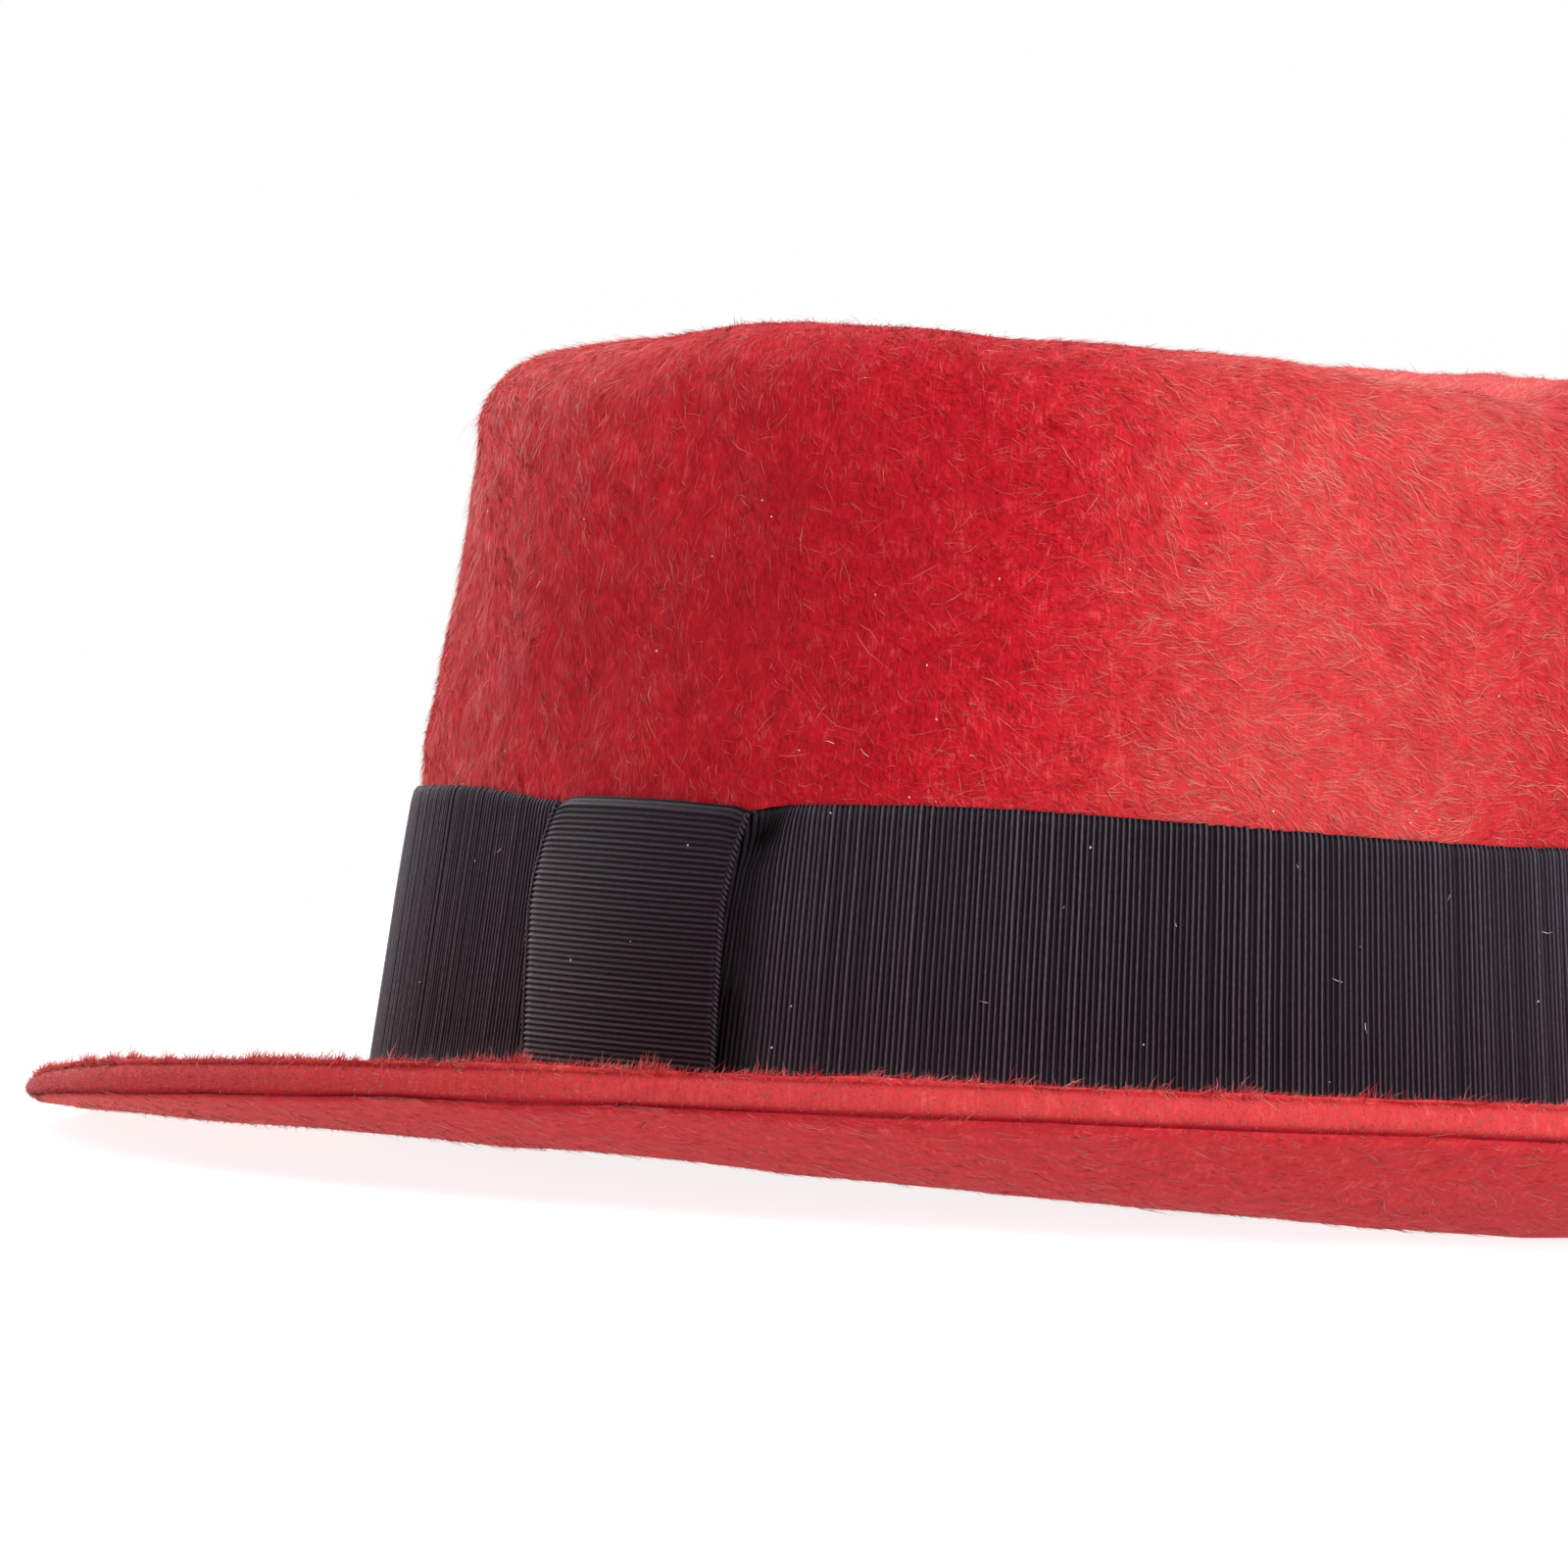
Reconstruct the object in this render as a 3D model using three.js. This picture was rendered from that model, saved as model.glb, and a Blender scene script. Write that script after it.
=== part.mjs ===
// A fedora in long-napped felt, with a grosgrain ribbon round the foot of its crown and a flat ribbon
// keeper on the wearer's left. Millimetres, +Z up. The front of the hat faces -Y and the wearer's left
// is +X. The hat rests on z = 0 by the back of its brim and by its flat front brim.
//
// The felt is one shell of one piece, crown and brim. Each column of its grid is the hat's section at
// one angle: from the middle of the crown's top, down the wall, out along the brim, round the cut edge
// and back inside to the middle again.
import * as THREE from "three";

// ---- Head oval: outside of the felt at the foot of the crown ----
const HALF_LENGTH = 102.8; // front to back
const HALF_WIDTH = 85.4; // side to side

// ---- Felt wall and brim ----
const FELT = 3; // wall
const EDGE_THICKNESS = 4.6; // the cut edge swells, where the nap is brushed out
const EDGE_ROUND = 0.9;
const BRIM_WIDTH = 50.5;
const FOOT_LIFT = 5.4; // the foot of the crown is this much higher at the sides than front and back
const BRIM_LEVEL_SHARE = 0.3; // share of the brim's width that runs level before it curls up
const BRIM_CURL = 1.8; // power of the curl: 1 is a straight slope
const REST_PRESS = 0.4; // felt this near the table is pressed flat on it
const REST_REACH = 3; // height over which the pressing fades out

// ---- Crown wall ----
const FOOT_FLARE = 5; // height over which the wall flares out into the brim
const FOOT_SPREAD = 2.2; // how far it flares
const INSIDE_BEND = 7; // width of the bend between brim and wall on the inside
const RIBBON_ZONE = 47; // height of the steeper part of the wall, under the ribbon
const ZONE_TAPER = 6.5; // degrees
const WALL_TAPER = 5.5; // degrees
const CORNER_RADIUS = 10.6; // between wall and top

// Stations round the hat by the angle from the front, the same on both sides. Heights are above the
// foot of the crown at the back.
// edge: middle of the cut edge. rim: top of the crown's rim. ribbon: how far its upper edge strays.
const STATIONS = [
  { angle: 0, edge: -0.7, rim: 110.8, ribbon: 0.2 },
  { angle: 30, edge: 0.6, rim: 111.5, ribbon: 0.6 },
  { angle: 60, edge: 6.9, rim: 115.2, ribbon: -0.3 },
  { angle: 90, edge: 11.9, rim: 118.3, ribbon: -2.1 },
  { angle: 120, edge: 14.2, rim: 117.4, ribbon: 1.0 },
  { angle: 150, edge: 14.5, rim: 116.8, ribbon: 2.2 },
  { angle: 180, edge: 13.3, rim: 116.6, ribbon: 2.4 },
];

// ---- Dents of the crown ----
const TOP_HEIGHT = 116; // the top's middle, before the crease is pressed in
const CREASE_DEPTH = 24; // the long dent in the top, front to back
const CREASE_SPREAD = 0.36; // its half width, as a share of the top's half width
const NOTCH_DEPTH = 4.6; // the crease runs out over the rim at the back
const NOTCH_SPREAD = 24; // degrees
const PINCH_DEPTH = 8; // two soft finger dents at the front
const PINCH_ANGLE = 27; // degrees from the front
const PINCH_SPREAD = 11; // degrees
const PINCH_HEIGHT = 84;
const PINCH_RISE = 24; // half its height

// ---- Ribbon ----
const RIBBON = 1; // thickness
const GAP = 0.3; // between ribbon and felt, and between keeper and ribbon
const RIBBON_LIFT = 1.2; // its lower edge above the brim
const KEEPER_FROM = 77.3; // degrees
const KEEPER_TO = 98.7;
const KEEPER_OVERHANG = 0.7; // the keeper stands this much above the ribbon's upper edge

// ---- Fineness of the grids ----
const COLUMNS = 72;
const TOP_RINGS = 6;
const CORNER_STEPS = 3;
const BRIM_STEPS = 5;
const KEEPER_COLUMNS = 6;
const FOOT_HEIGHTS = [2.5, RIBBON_LIFT, 0]; // wall rings in the flare, downwards
const RIBBON_HEIGHTS = [RIBBON_LIFT, 2.5, FOOT_FLARE, 26]; // ribbon rings under its upper edge

const radians = THREE.MathUtils.degToRad;
const bell = (x, spread) => Math.exp(-((x / spread) ** 2));
const shares = (steps) => Array.from({ length: steps + 1 }, (_, i) => i / steps);

// The angle from the front to either side, 0 to 180.
const foldedAngle = (angle) => Math.abs(angle - 360 * Math.round(angle / 360));

// A smooth curve through one column of STATIONS.
function station(column, angle) {
  const last = STATIONS.length - 1;
  const place = foldedAngle(angle) / STATIONS[1].angle;
  const i = Math.min(Math.floor(place), last - 1);
  const t = place - i;
  const at = (k) => STATIONS[k > last ? 2 * last - k : Math.abs(k)][column];
  const [a, b, c, d] = [at(i - 1), at(i), at(i + 1), at(i + 2)];
  const bend = 2 * a - 5 * b + 4 * c - d + t * (3 * b - a - 3 * c + d);
  return b + 0.5 * t * (c - a + t * bend);
}

const footHeight = (angle) => FOOT_LIFT * Math.sin(radians(angle)) ** 2;

const rimHeight = (angle) =>
  station("rim", angle) - NOTCH_DEPTH * bell(180 - foldedAngle(angle), NOTCH_SPREAD);

// How far the outside of the wall stands out from the head oval, at a height above the crown's foot.
function wallOffset(angle, height) {
  const inZone = Math.min(height, RIBBON_ZONE);
  const above = Math.max(height - RIBBON_ZONE, 0);
  const flare = FOOT_SPREAD * (Math.max(FOOT_FLARE - height, 0) / FOOT_FLARE) ** 2;
  const across = bell(foldedAngle(angle) - PINCH_ANGLE, PINCH_SPREAD);
  const pinch = PINCH_DEPTH * across * bell(height - PINCH_HEIGHT, PINCH_RISE);
  const taper = Math.tan(radians(ZONE_TAPER)) * inZone + Math.tan(radians(WALL_TAPER)) * above;
  return flare - taper - pinch;
}

// A point of the hat: offset outwards from the head oval, height above the crown's foot at the back.
function ovalPoint(angle, offset, height, share = 1) {
  const x = share * (HALF_WIDTH + offset) * Math.sin(radians(angle));
  const y = -share * (HALF_LENGTH + offset) * Math.cos(radians(angle));
  return [x, y, height + FELT];
}

// Outside of the crown's top, a share of the way from its middle to its rim.
function topPoint(angle, share, thickness) {
  const rim = rimHeight(angle);
  const offset = wallOffset(angle, rim - footHeight(angle)) - CORNER_RADIUS;
  const acrossTop = share * Math.sin(radians(angle));
  const crease = CREASE_DEPTH * bell(acrossTop, CREASE_SPREAD) * (1 - share ** 4);
  const height = TOP_HEIGHT + (rim - TOP_HEIGHT) * share ** 2 - crease;
  return ovalPoint(angle, offset, height - thickness, share);
}

// Corner between top and wall, from 0 at the wall to 1 at the top.
function cornerPoint(angle, share, thickness) {
  const turn = share * Math.PI / 2;
  const radius = CORNER_RADIUS - thickness;
  const rim = rimHeight(angle);
  const offset = wallOffset(angle, rim - footHeight(angle)) - CORNER_RADIUS;
  return ovalPoint(angle, offset + radius * Math.cos(turn), rim - CORNER_RADIUS + radius * Math.sin(turn));
}

function wallPoint(angle, height, thickness) {
  return ovalPoint(angle, wallOffset(angle, height) - thickness, footHeight(angle) + height);
}

// Upper and under side of the brim, from 0 at the crown to 1 at the cut edge.
function brimHeight(angle, share, side) {
  const curl = Math.max(share - BRIM_LEVEL_SHARE, 0) / (1 - BRIM_LEVEL_SHARE);
  const half = side * EDGE_THICKNESS / 2;
  const atFoot = footHeight(angle) - (side < 0 ? FELT : 0);
  return atFoot + (station("edge", angle) + half - atFoot) * curl ** BRIM_CURL;
}

const brimTop = (angle, share) =>
  ovalPoint(angle, FOOT_SPREAD + (BRIM_WIDTH - FOOT_SPREAD) * share, brimHeight(angle, share, 1));

function brimUnder(angle, share) {
  const [x, y, z] = ovalPoint(angle, BRIM_WIDTH * share, brimHeight(angle, share, -1));
  return [x, y, Math.max(0, z - REST_PRESS * Math.exp(-z / REST_REACH))];
}

// The cut edge: a flat band with its two corners rounded off.
function edgePoint(angle, side) {
  const height = station("edge", angle) + side * (EDGE_THICKNESS / 2 - EDGE_ROUND);
  return ovalPoint(angle, BRIM_WIDTH + EDGE_ROUND, height);
}

// The bend from the brim's underside up into the crown, from 0 at the brim to 1 at the wall.
function insideBend(angle, share) {
  const turn = share * Math.PI / 2;
  const wall = wallOffset(angle, FOOT_FLARE) - FELT;
  const [x, y] = ovalPoint(angle, wall + INSIDE_BEND * (1 - Math.sin(turn)), 0);
  const rise = (FOOT_FLARE + FELT) * (1 - Math.cos(turn));
  return [x, y, Math.max(0, brimUnder(angle, 0)[2] + rise)];
}

// A row of points round the hat for each ring, as columns by angle.
const angles = Array.from({ length: COLUMNS }, (_, j) => (360 * j) / COLUMNS);
const ringOf = (pointAt) => angles.map(pointAt);

// Heights of the wall rings from the corner down to the ribbon zone's top, at one angle.
const wallShare = (angle, share) => {
  const top = rimHeight(angle) - footHeight(angle) - CORNER_RADIUS;
  return RIBBON_ZONE + (top - RIBBON_ZONE) * share;
};

// Joins rings of points into a closed surface. Each end is either closed by its first point alone, at
// the middle of the top, or joined to the other end where wrap is true.
function surfaceOf(rings, { wrap = false, closedRound = true } = {}) {
  const count = rings[1].length;
  const positions = [];
  const starts = rings.map((ring) => {
    const start = positions.length / 3;
    ring.forEach((point) => positions.push(...point));
    return start;
  });
  const faces = [];
  const at = (row, column) => starts[row] + (rings[row].length === 1 ? 0 : column % count);
  const spans = wrap ? rings.length : rings.length - 1;
  const columns = closedRound ? count : count - 1;
  for (let row = 0; row < spans; row += 1) {
    const next = (row + 1) % rings.length;
    for (let column = 0; column < columns; column += 1) {
      const [a, b] = [at(row, column), at(row, column + 1)];
      const [c, d] = [at(next, column), at(next, column + 1)];
      if (a !== b) faces.push(a, c, b);
      if (c !== d) faces.push(b, c, d);
    }
  }
  if (!closedRound) {
    for (let row = 1; row < rings.length - 1; row += 1) {
      faces.push(at(0, 0), at(row + 1, 0), at(row, 0));
      faces.push(at(0, count - 1), at(row, count - 1), at(row + 1, count - 1));
    }
  }
  const geometry = new THREE.BufferGeometry();
  geometry.setAttribute("position", new THREE.Float32BufferAttribute(positions, 3));
  geometry.setIndex(faces);
  geometry.computeVertexNormals();
  return geometry;
}

function feltBody() {
  const topShares = shares(TOP_RINGS).slice(1, -1);
  const cornerShares = shares(CORNER_STEPS);
  const brimShares = shares(BRIM_STEPS);
  const outside = [
    ...topShares.map((s) => ringOf((angle) => topPoint(angle, s, 0))),
    ...cornerShares.toReversed().map((s) => ringOf((angle) => cornerPoint(angle, s, 0))),
    ringOf((angle) => wallPoint(angle, wallShare(angle, 0.5), 0)),
    ringOf((angle) => wallPoint(angle, RIBBON_ZONE, 0)),
    ringOf((angle) => wallPoint(angle, FOOT_FLARE, 0)),
    ...FOOT_HEIGHTS.map((h) => ringOf((angle) => wallPoint(angle, h, 0))),
    ...brimShares.slice(1).map((s) => ringOf((angle) => brimTop(angle, s))),
  ];
  const inside = [
    ringOf((angle) => edgePoint(angle, 1)),
    ringOf((angle) => edgePoint(angle, -1)),
    ...brimShares.slice(1).toReversed().map((s) => ringOf((angle) => brimUnder(angle, s))),
    ...shares(2).map((s) => ringOf((angle) => insideBend(angle, s))),
    ringOf((angle) => wallPoint(angle, RIBBON_ZONE, FELT)),
    ringOf((angle) => wallPoint(angle, wallShare(angle, 0.5), FELT)),
    ...cornerShares.map((s) => ringOf((angle) => cornerPoint(angle, s, FELT))),
    ...topShares.toReversed().map((s) => ringOf((angle) => topPoint(angle, s, FELT))),
  ];
  const middle = (thickness) => [topPoint(0, 0, thickness)];
  return surfaceOf([middle(0), ...outside, ...inside, middle(FELT)]);
}

// A strip of ribbon round the wall between two offsets, as a closed loop of rings.
function ribbonRings(columnAngles, inner, overhang) {
  const upper = (angle) => RIBBON_ZONE + station("ribbon", angle) + overhang;
  const face = (distance) => [
    ...RIBBON_HEIGHTS.map((h) => columnAngles.map((angle) => wallPoint(angle, h, -distance))),
    columnAngles.map((angle) => wallPoint(angle, upper(angle), -distance)),
  ];
  return [...face(inner).toReversed(), ...face(inner + RIBBON)].toReversed();
}

function ribbonBand() {
  return surfaceOf(ribbonRings(angles, GAP, 0), { wrap: true });
}

function ribbonKeeper() {
  const across = shares(KEEPER_COLUMNS).map((s) => KEEPER_FROM + (KEEPER_TO - KEEPER_FROM) * s);
  const rings = ribbonRings(across, 2 * GAP + RIBBON, KEEPER_OVERHANG);
  return surfaceOf(rings, { wrap: true, closedRound: false });
}

function piece(name, geometry, material) {
  const mesh = new THREE.Mesh(geometry, material);
  mesh.name = name;
  return mesh;
}

const feltMaterial = new THREE.MeshStandardMaterial({ color: 0xb8242a, roughness: 0.95 });
const ribbonMaterial = new THREE.MeshStandardMaterial({ color: 0x231f26, roughness: 0.75 });

const fedora = new THREE.Group();
fedora.add(
  piece("felt_body", feltBody(), feltMaterial),
  piece("ribbon_band", ribbonBand(), ribbonMaterial),
  piece("ribbon_keeper", ribbonKeeper(), ribbonMaterial),
);

export default fedora;
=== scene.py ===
"""A red fedora in long-napped felt with a dark grosgrain ribbon and its flat keeper.

The felt is one shell that repeats the frame's form with a finer grid. Its nap is laid on it as joined
meshes of short bent hairs, combed along a flow that turns round the hat. The ribbon's ribs are real
relief. Lengths are in metres and angles in degrees, measured round the hat: 0 is the front (-Y), 90 the
wearer's left (+X) and 180 the back.
"""

import math

import bpy
import numpy as np
from bpy.props import FloatProperty, FloatVectorProperty, IntProperty, PointerProperty
from bpy.types import Operator, Panel, PropertyGroup
from mathutils import Matrix, Vector


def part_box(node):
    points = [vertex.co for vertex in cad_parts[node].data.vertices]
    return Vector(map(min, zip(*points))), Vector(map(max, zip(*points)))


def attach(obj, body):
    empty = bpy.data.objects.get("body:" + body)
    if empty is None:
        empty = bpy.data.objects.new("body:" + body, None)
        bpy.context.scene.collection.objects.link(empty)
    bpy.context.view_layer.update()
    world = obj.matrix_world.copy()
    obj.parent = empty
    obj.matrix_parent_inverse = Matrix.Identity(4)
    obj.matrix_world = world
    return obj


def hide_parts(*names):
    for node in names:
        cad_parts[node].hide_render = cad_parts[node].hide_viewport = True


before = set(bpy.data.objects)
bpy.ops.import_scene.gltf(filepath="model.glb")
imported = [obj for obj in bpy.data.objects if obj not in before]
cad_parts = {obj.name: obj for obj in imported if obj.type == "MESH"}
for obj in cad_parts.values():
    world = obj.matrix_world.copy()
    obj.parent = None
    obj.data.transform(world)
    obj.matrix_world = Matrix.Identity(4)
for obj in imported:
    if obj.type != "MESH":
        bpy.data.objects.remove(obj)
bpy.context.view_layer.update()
FELT_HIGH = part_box("felt_body")[1]

bl_info = {
    "name": "Napped Fedora",
    "version": (1, 0, 0),
    "blender": (4, 5, 0),
    "location": "3D View > Sidebar > Hat",
    "description": "Builds a long-napped felt fedora with a grosgrain ribbon",
    "category": "Object",
}

# ---- Form of the felt, as in the frame ----
FELT = 0.003  # thickness of the felt
EDGE_THICKNESS = 0.0046
EDGE_THINNING = [(0.30, 36, 24), (0.22, 38, 10)]  # shares by which it thins, their angles and spreads
EDGE_ROUND = 0.0009  # how far the cut edge bulges
BRIM_WIDTH = 0.0505
HALF_WIDTH = FELT_HIGH.x - BRIM_WIDTH - EDGE_ROUND  # of the head oval
HALF_LENGTH = FELT_HIGH.y - BRIM_WIDTH - EDGE_ROUND
FOOT_LIFT = 0.0054  # how much higher the crown's foot is at the sides
BRIM_LEVEL_SHARE = 0.3  # share of the brim's width that is level before it curls
BRIM_CURL = 1.8  # power of that curl
REST_PRESS = 0.0004  # how far the brim is pressed flat where it rests, and from what height
REST_REACH = 0.003
FOOT_FLARE = 0.005  # height of the flare at the crown's foot, and how far it spreads
FOOT_SPREAD = 0.0022
INSIDE_BEND = 0.007
RIBBON_ZONE = 0.047  # height of the wall's zone under the ribbon
ZONE_TAPER = math.tan(math.radians(6.5))
WALL_TAPER = math.tan(math.radians(5.5))
CORNER_RADIUS = 0.0106  # of the corner between wall and top
TOP_HEIGHT = 0.116
CREASE_DEPTH = 0.024  # of the crease along the top's middle; its spread is a share of the top's width
CREASE_SPREAD = 0.36
NOTCH_DEPTH = 0.0046  # of the dip at the crease's back end
NOTCH_SPREAD = 24
PINCH_DEPTH = 0.008  # of the soft pinch on either side of the front
PINCH_ANGLE = 27
PINCH_SPREAD = 11
PINCH_HEIGHT = 0.084
PINCH_RISE = 0.024
UPPER_CREASE = 0.0001  # depth of the creases along the cut edge
LOWER_CREASE = 0.00025
NAP_ROLL = 0.0007  # height of the nap's body on the brim's rim

# Heights round the hat above the crown's foot: middle of the cut edge, top of the rim, and how far the
# ribbon's upper edge strays from its zone. One row every STATION_STEP degrees, the same on both sides.
STATION_STEP = 30
STATIONS = np.array([
    (-0.0007, 0.1108, 0.0002),
    (0.0006, 0.1115, 0.0006),
    (0.0069, 0.1152, -0.0003),
    (0.0119, 0.1183, -0.0021),
    (0.0142, 0.1174, 0.0010),
    (0.0145, 0.1168, 0.0022),
    (0.0133, 0.1166, 0.0024),
])
EDGE, RIM, RIBBON_EDGE = range(3)

# ---- Ribbon, as in the frame ----
RIBBON = 0.001  # thickness of the ribbon
GAP = 0.0003  # between the felt, the band and the keeper
RIBBON_LIFT = 0.0012  # height of the ribbon's lower edge above the crown's foot
BAND_OUT = GAP + RIBBON  # the band's outside, out from the felt
KEEPER_OUT = BAND_OUT + GAP + RIBBON
KEEPER_FOLD = -0.0001  # height of the keeper's fold over the band's upper edge
KEEPER_FROM, KEEPER_TO = 76.8, 98.2  # angles of its edges at its waist
KEEPER_WAIST = 0.030  # height at which it is drawn in most
KEEPER_WIDTH = 0.034
RIB_STEPS = 6  # columns of points on each rib
KEEPER_COLUMNS = 32  # of points across the keeper
SELVAGE_RADII = (0.00034, 0.00042)  # of the cords along the keeper's front and back edge
SELVAGE_STEPS, SELVAGE_SIDES = 420, 8
LINT_HEIGHTS = (0.003, 0.094)  # between which lint is caught, above the crown's foot
FIBRE_SHARE = 0.35  # share of the lint that is fibres, the rest being specks


def bell(x, spread):
    return np.exp(-((x / spread) ** 2))


def folded(angle):
    """The angle from the front to either side, 0 to 180."""
    return np.abs(angle - 360 * np.round(angle / 360))


def station(column, angle):
    """A smooth curve through one column of STATIONS."""
    values = STATIONS[:, column]
    last = len(values) - 1
    place = folded(angle) / STATION_STEP
    i = np.minimum(np.floor(place).astype(int), last - 1)
    t = place - i

    def at(k):
        k = np.abs(k)
        return values[np.where(k > last, 2 * last - k, k)]

    a, b, c, d = at(i - 1), at(i), at(i + 1), at(i + 2)
    bend = 2 * a - 5 * b + 4 * c - d + t * (3 * b - a - 3 * c + d)
    return b + 0.5 * t * (c - a + t * bend)


def foot_height(angle):
    return FOOT_LIFT * np.sin(np.radians(angle)) ** 2


def rim_height(angle):
    return station(RIM, angle) - NOTCH_DEPTH * bell(180 - folded(angle), NOTCH_SPREAD)


def ribbon_top(angle):
    """Height of the band's upper edge above the crown's foot."""
    return RIBBON_ZONE + station(RIBBON_EDGE, angle)


def wall_offset(angle, height):
    """How far the wall's outside stands out from the head oval, at a height above the crown's foot."""
    flare = FOOT_SPREAD * (np.maximum(FOOT_FLARE - height, 0) / FOOT_FLARE) ** 2
    taper = ZONE_TAPER * np.minimum(height, RIBBON_ZONE) + WALL_TAPER * np.maximum(height - RIBBON_ZONE, 0)
    across = bell(folded(angle) - PINCH_ANGLE, PINCH_SPREAD)
    return flare - taper - PINCH_DEPTH * across * bell(height - PINCH_HEIGHT, PINCH_RISE)


def oval_point(angle, offset, height, share=1.0):
    turn = np.radians(angle)
    x = share * (HALF_WIDTH + offset) * np.sin(turn)
    y = -share * (HALF_LENGTH + offset) * np.cos(turn)
    return np.stack(np.broadcast_arrays(x, y, height + FELT), -1)


def top_point(angle, share, thickness=0.0):
    """Crown's top, a share of the way from its middle to its rim."""
    rim = rim_height(angle)
    offset = wall_offset(angle, rim - foot_height(angle)) - CORNER_RADIUS
    crease = CREASE_DEPTH * bell(share * np.sin(np.radians(angle)), CREASE_SPREAD) * (1 - share ** 4)
    height = TOP_HEIGHT + (rim - TOP_HEIGHT) * share ** 2 - crease - thickness
    return oval_point(angle, offset, height, share)


def corner_point(angle, share, thickness=0.0):
    """Corner between top and wall, from 0 at the wall to 1 at the top. It starts along the wall's slope."""
    turn = share * math.pi / 2
    radius = CORNER_RADIUS - thickness
    rim = rim_height(angle)
    rise = rim - foot_height(angle)
    above, below = wall_offset(angle, rise), wall_offset(angle, rise - CORNER_RADIUS)
    offset = above + (below - above) * (1 - math.sin(turn)) - CORNER_RADIUS
    height = rim - CORNER_RADIUS + radius * math.sin(turn)
    return oval_point(angle, offset + radius * math.cos(turn), height)


def wall_point(angle, height, out=0.0):
    return oval_point(angle, wall_offset(angle, height) + out, foot_height(angle) + height)


def wall_share(angle, share):
    """Heights on the wall from the ribbon zone's top, 0, to the corner, 1."""
    top = rim_height(angle) - foot_height(angle) - CORNER_RADIUS
    return RIBBON_ZONE + (top - RIBBON_ZONE) * share


def edge_thickness(angle):
    """The brim's edge thins a little on either side of the front."""
    thinned = 1
    for share, middle, spread in EDGE_THINNING:
        thinned = thinned - share * bell(folded(angle) - middle, spread)
    return EDGE_THICKNESS * thinned


def across_edge(points, angle):
    """How far up the cut edge points lie, from -0.5 at its lower corner to 0.5 at its upper one."""
    return (points[..., 2] - FELT - station(EDGE, angle)) / edge_thickness(angle)


def brim_height(angle, share, side):
    """Upper (side 1) and under (side -1) face of the brim, from 0 at the crown to 1 at the edge."""
    curl = max(share - BRIM_LEVEL_SHARE, 0) / (1 - BRIM_LEVEL_SHARE)
    at_foot = foot_height(angle) - (FELT if side < 0 else 0)
    at_edge = station(EDGE, angle) + side * edge_thickness(angle) / 2
    return at_foot + (at_edge - at_foot) * curl ** BRIM_CURL


def brim_top(angle, share):
    offset = FOOT_SPREAD + (BRIM_WIDTH - FOOT_SPREAD) * share
    return oval_point(angle, offset, brim_height(angle, share, 1))


def rolled_brim_top(angle, share):
    """The brim's upper face with its nap, which stands up in a soft uneven roll along the rim."""
    point = brim_top(angle, share)
    lumps = 1 + 0.10 * ripple(point, 0.007, 14) + 0.08 * ripple(point, 0.034, 15)
    thin = 1 - 0.9 * bell(folded(angle) - 38, 16)
    point[..., 2] += NAP_ROLL * bell(share - 0.984, 0.024) * lumps * thin
    return point


def brim_under(angle, share):
    point = oval_point(angle, BRIM_WIDTH * share, brim_height(angle, share, -1))
    z = point[..., 2]
    point[..., 2] = np.maximum(0, z - REST_PRESS * np.exp(-z / REST_REACH))
    return point


def cut_edge(angle, share):
    """The cut edge from its upper corner, 0, to its lower one, 1, with a crease under each nap."""
    across = 2 * share - 1
    round_off = EDGE_ROUND * (1.5 * (1 - abs(across) ** 2.8) - 0.5)
    crease = UPPER_CREASE * bell(share - 0.06, 0.08) + LOWER_CREASE * bell(share - 0.90, 0.13)
    height = station(EDGE, angle) - across * edge_thickness(angle) / 2
    return oval_point(angle, BRIM_WIDTH + round_off - crease, height)


def inside_bend(angle, share):
    """The bend from the brim's underside up into the crown, from 0 at the brim to 1 at the wall."""
    turn = share * math.pi / 2
    wall = wall_offset(angle, FOOT_FLARE) - FELT
    point = oval_point(angle, wall + INSIDE_BEND * (1 - math.sin(turn)), 0.0)
    rise = (FOOT_FLARE + FELT) * (1 - math.cos(turn))
    point[..., 2] = np.maximum(0, brim_under(angle, 0)[..., 2] + rise)
    return point


def ripple(points, wavelength, seed, waves=26):
    """A smooth random field through space, of mean 0 and spread 1."""
    rng = np.random.default_rng(seed)
    directions = rng.normal(size=(waves, 3))
    directions /= np.linalg.norm(directions, axis=1, keepdims=True)
    lengths = wavelength * rng.uniform(0.7, 1.5, (waves, 1))
    numbers = 2 * math.pi * directions / lengths
    phases = rng.uniform(0, 2 * math.pi, waves)
    return np.cos(points @ numbers.T + phases).sum(-1) * math.sqrt(2 / waves)


def ripples(points, rows):
    """A sum of ripples, each given by its depth, its wavelength and its seed."""
    return sum(depth * ripple(points, wavelength, seed) for depth, wavelength, seed in rows)


def unit(vectors):
    return vectors / np.maximum(np.linalg.norm(vectors, axis=-1, keepdims=True), 1e-12)


# ---- Meshes and pieces ----
def mesh_from(name, points, faces, smooth=True):
    """A mesh from an array of points and a list of face arrays, each with its own corners per face."""
    mesh = bpy.data.meshes.new(name)
    corners = np.concatenate([block.ravel() for block in faces]).astype(np.int32)
    sizes = np.concatenate([np.full(len(block), block.shape[1]) for block in faces])
    starts = np.concatenate([[0], np.cumsum(sizes)[:-1]]).astype(np.int32)
    mesh.vertices.add(len(points))
    mesh.vertices.foreach_set("co", np.asarray(points, np.float32).ravel())
    mesh.loops.add(len(corners))
    mesh.loops.foreach_set("vertex_index", corners)
    mesh.polygons.add(len(sizes))
    mesh.polygons.foreach_set("loop_start", starts)
    mesh.polygons.foreach_set("use_smooth", np.full(len(sizes), smooth))
    mesh.update(calc_edges=True)
    return mesh


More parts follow.
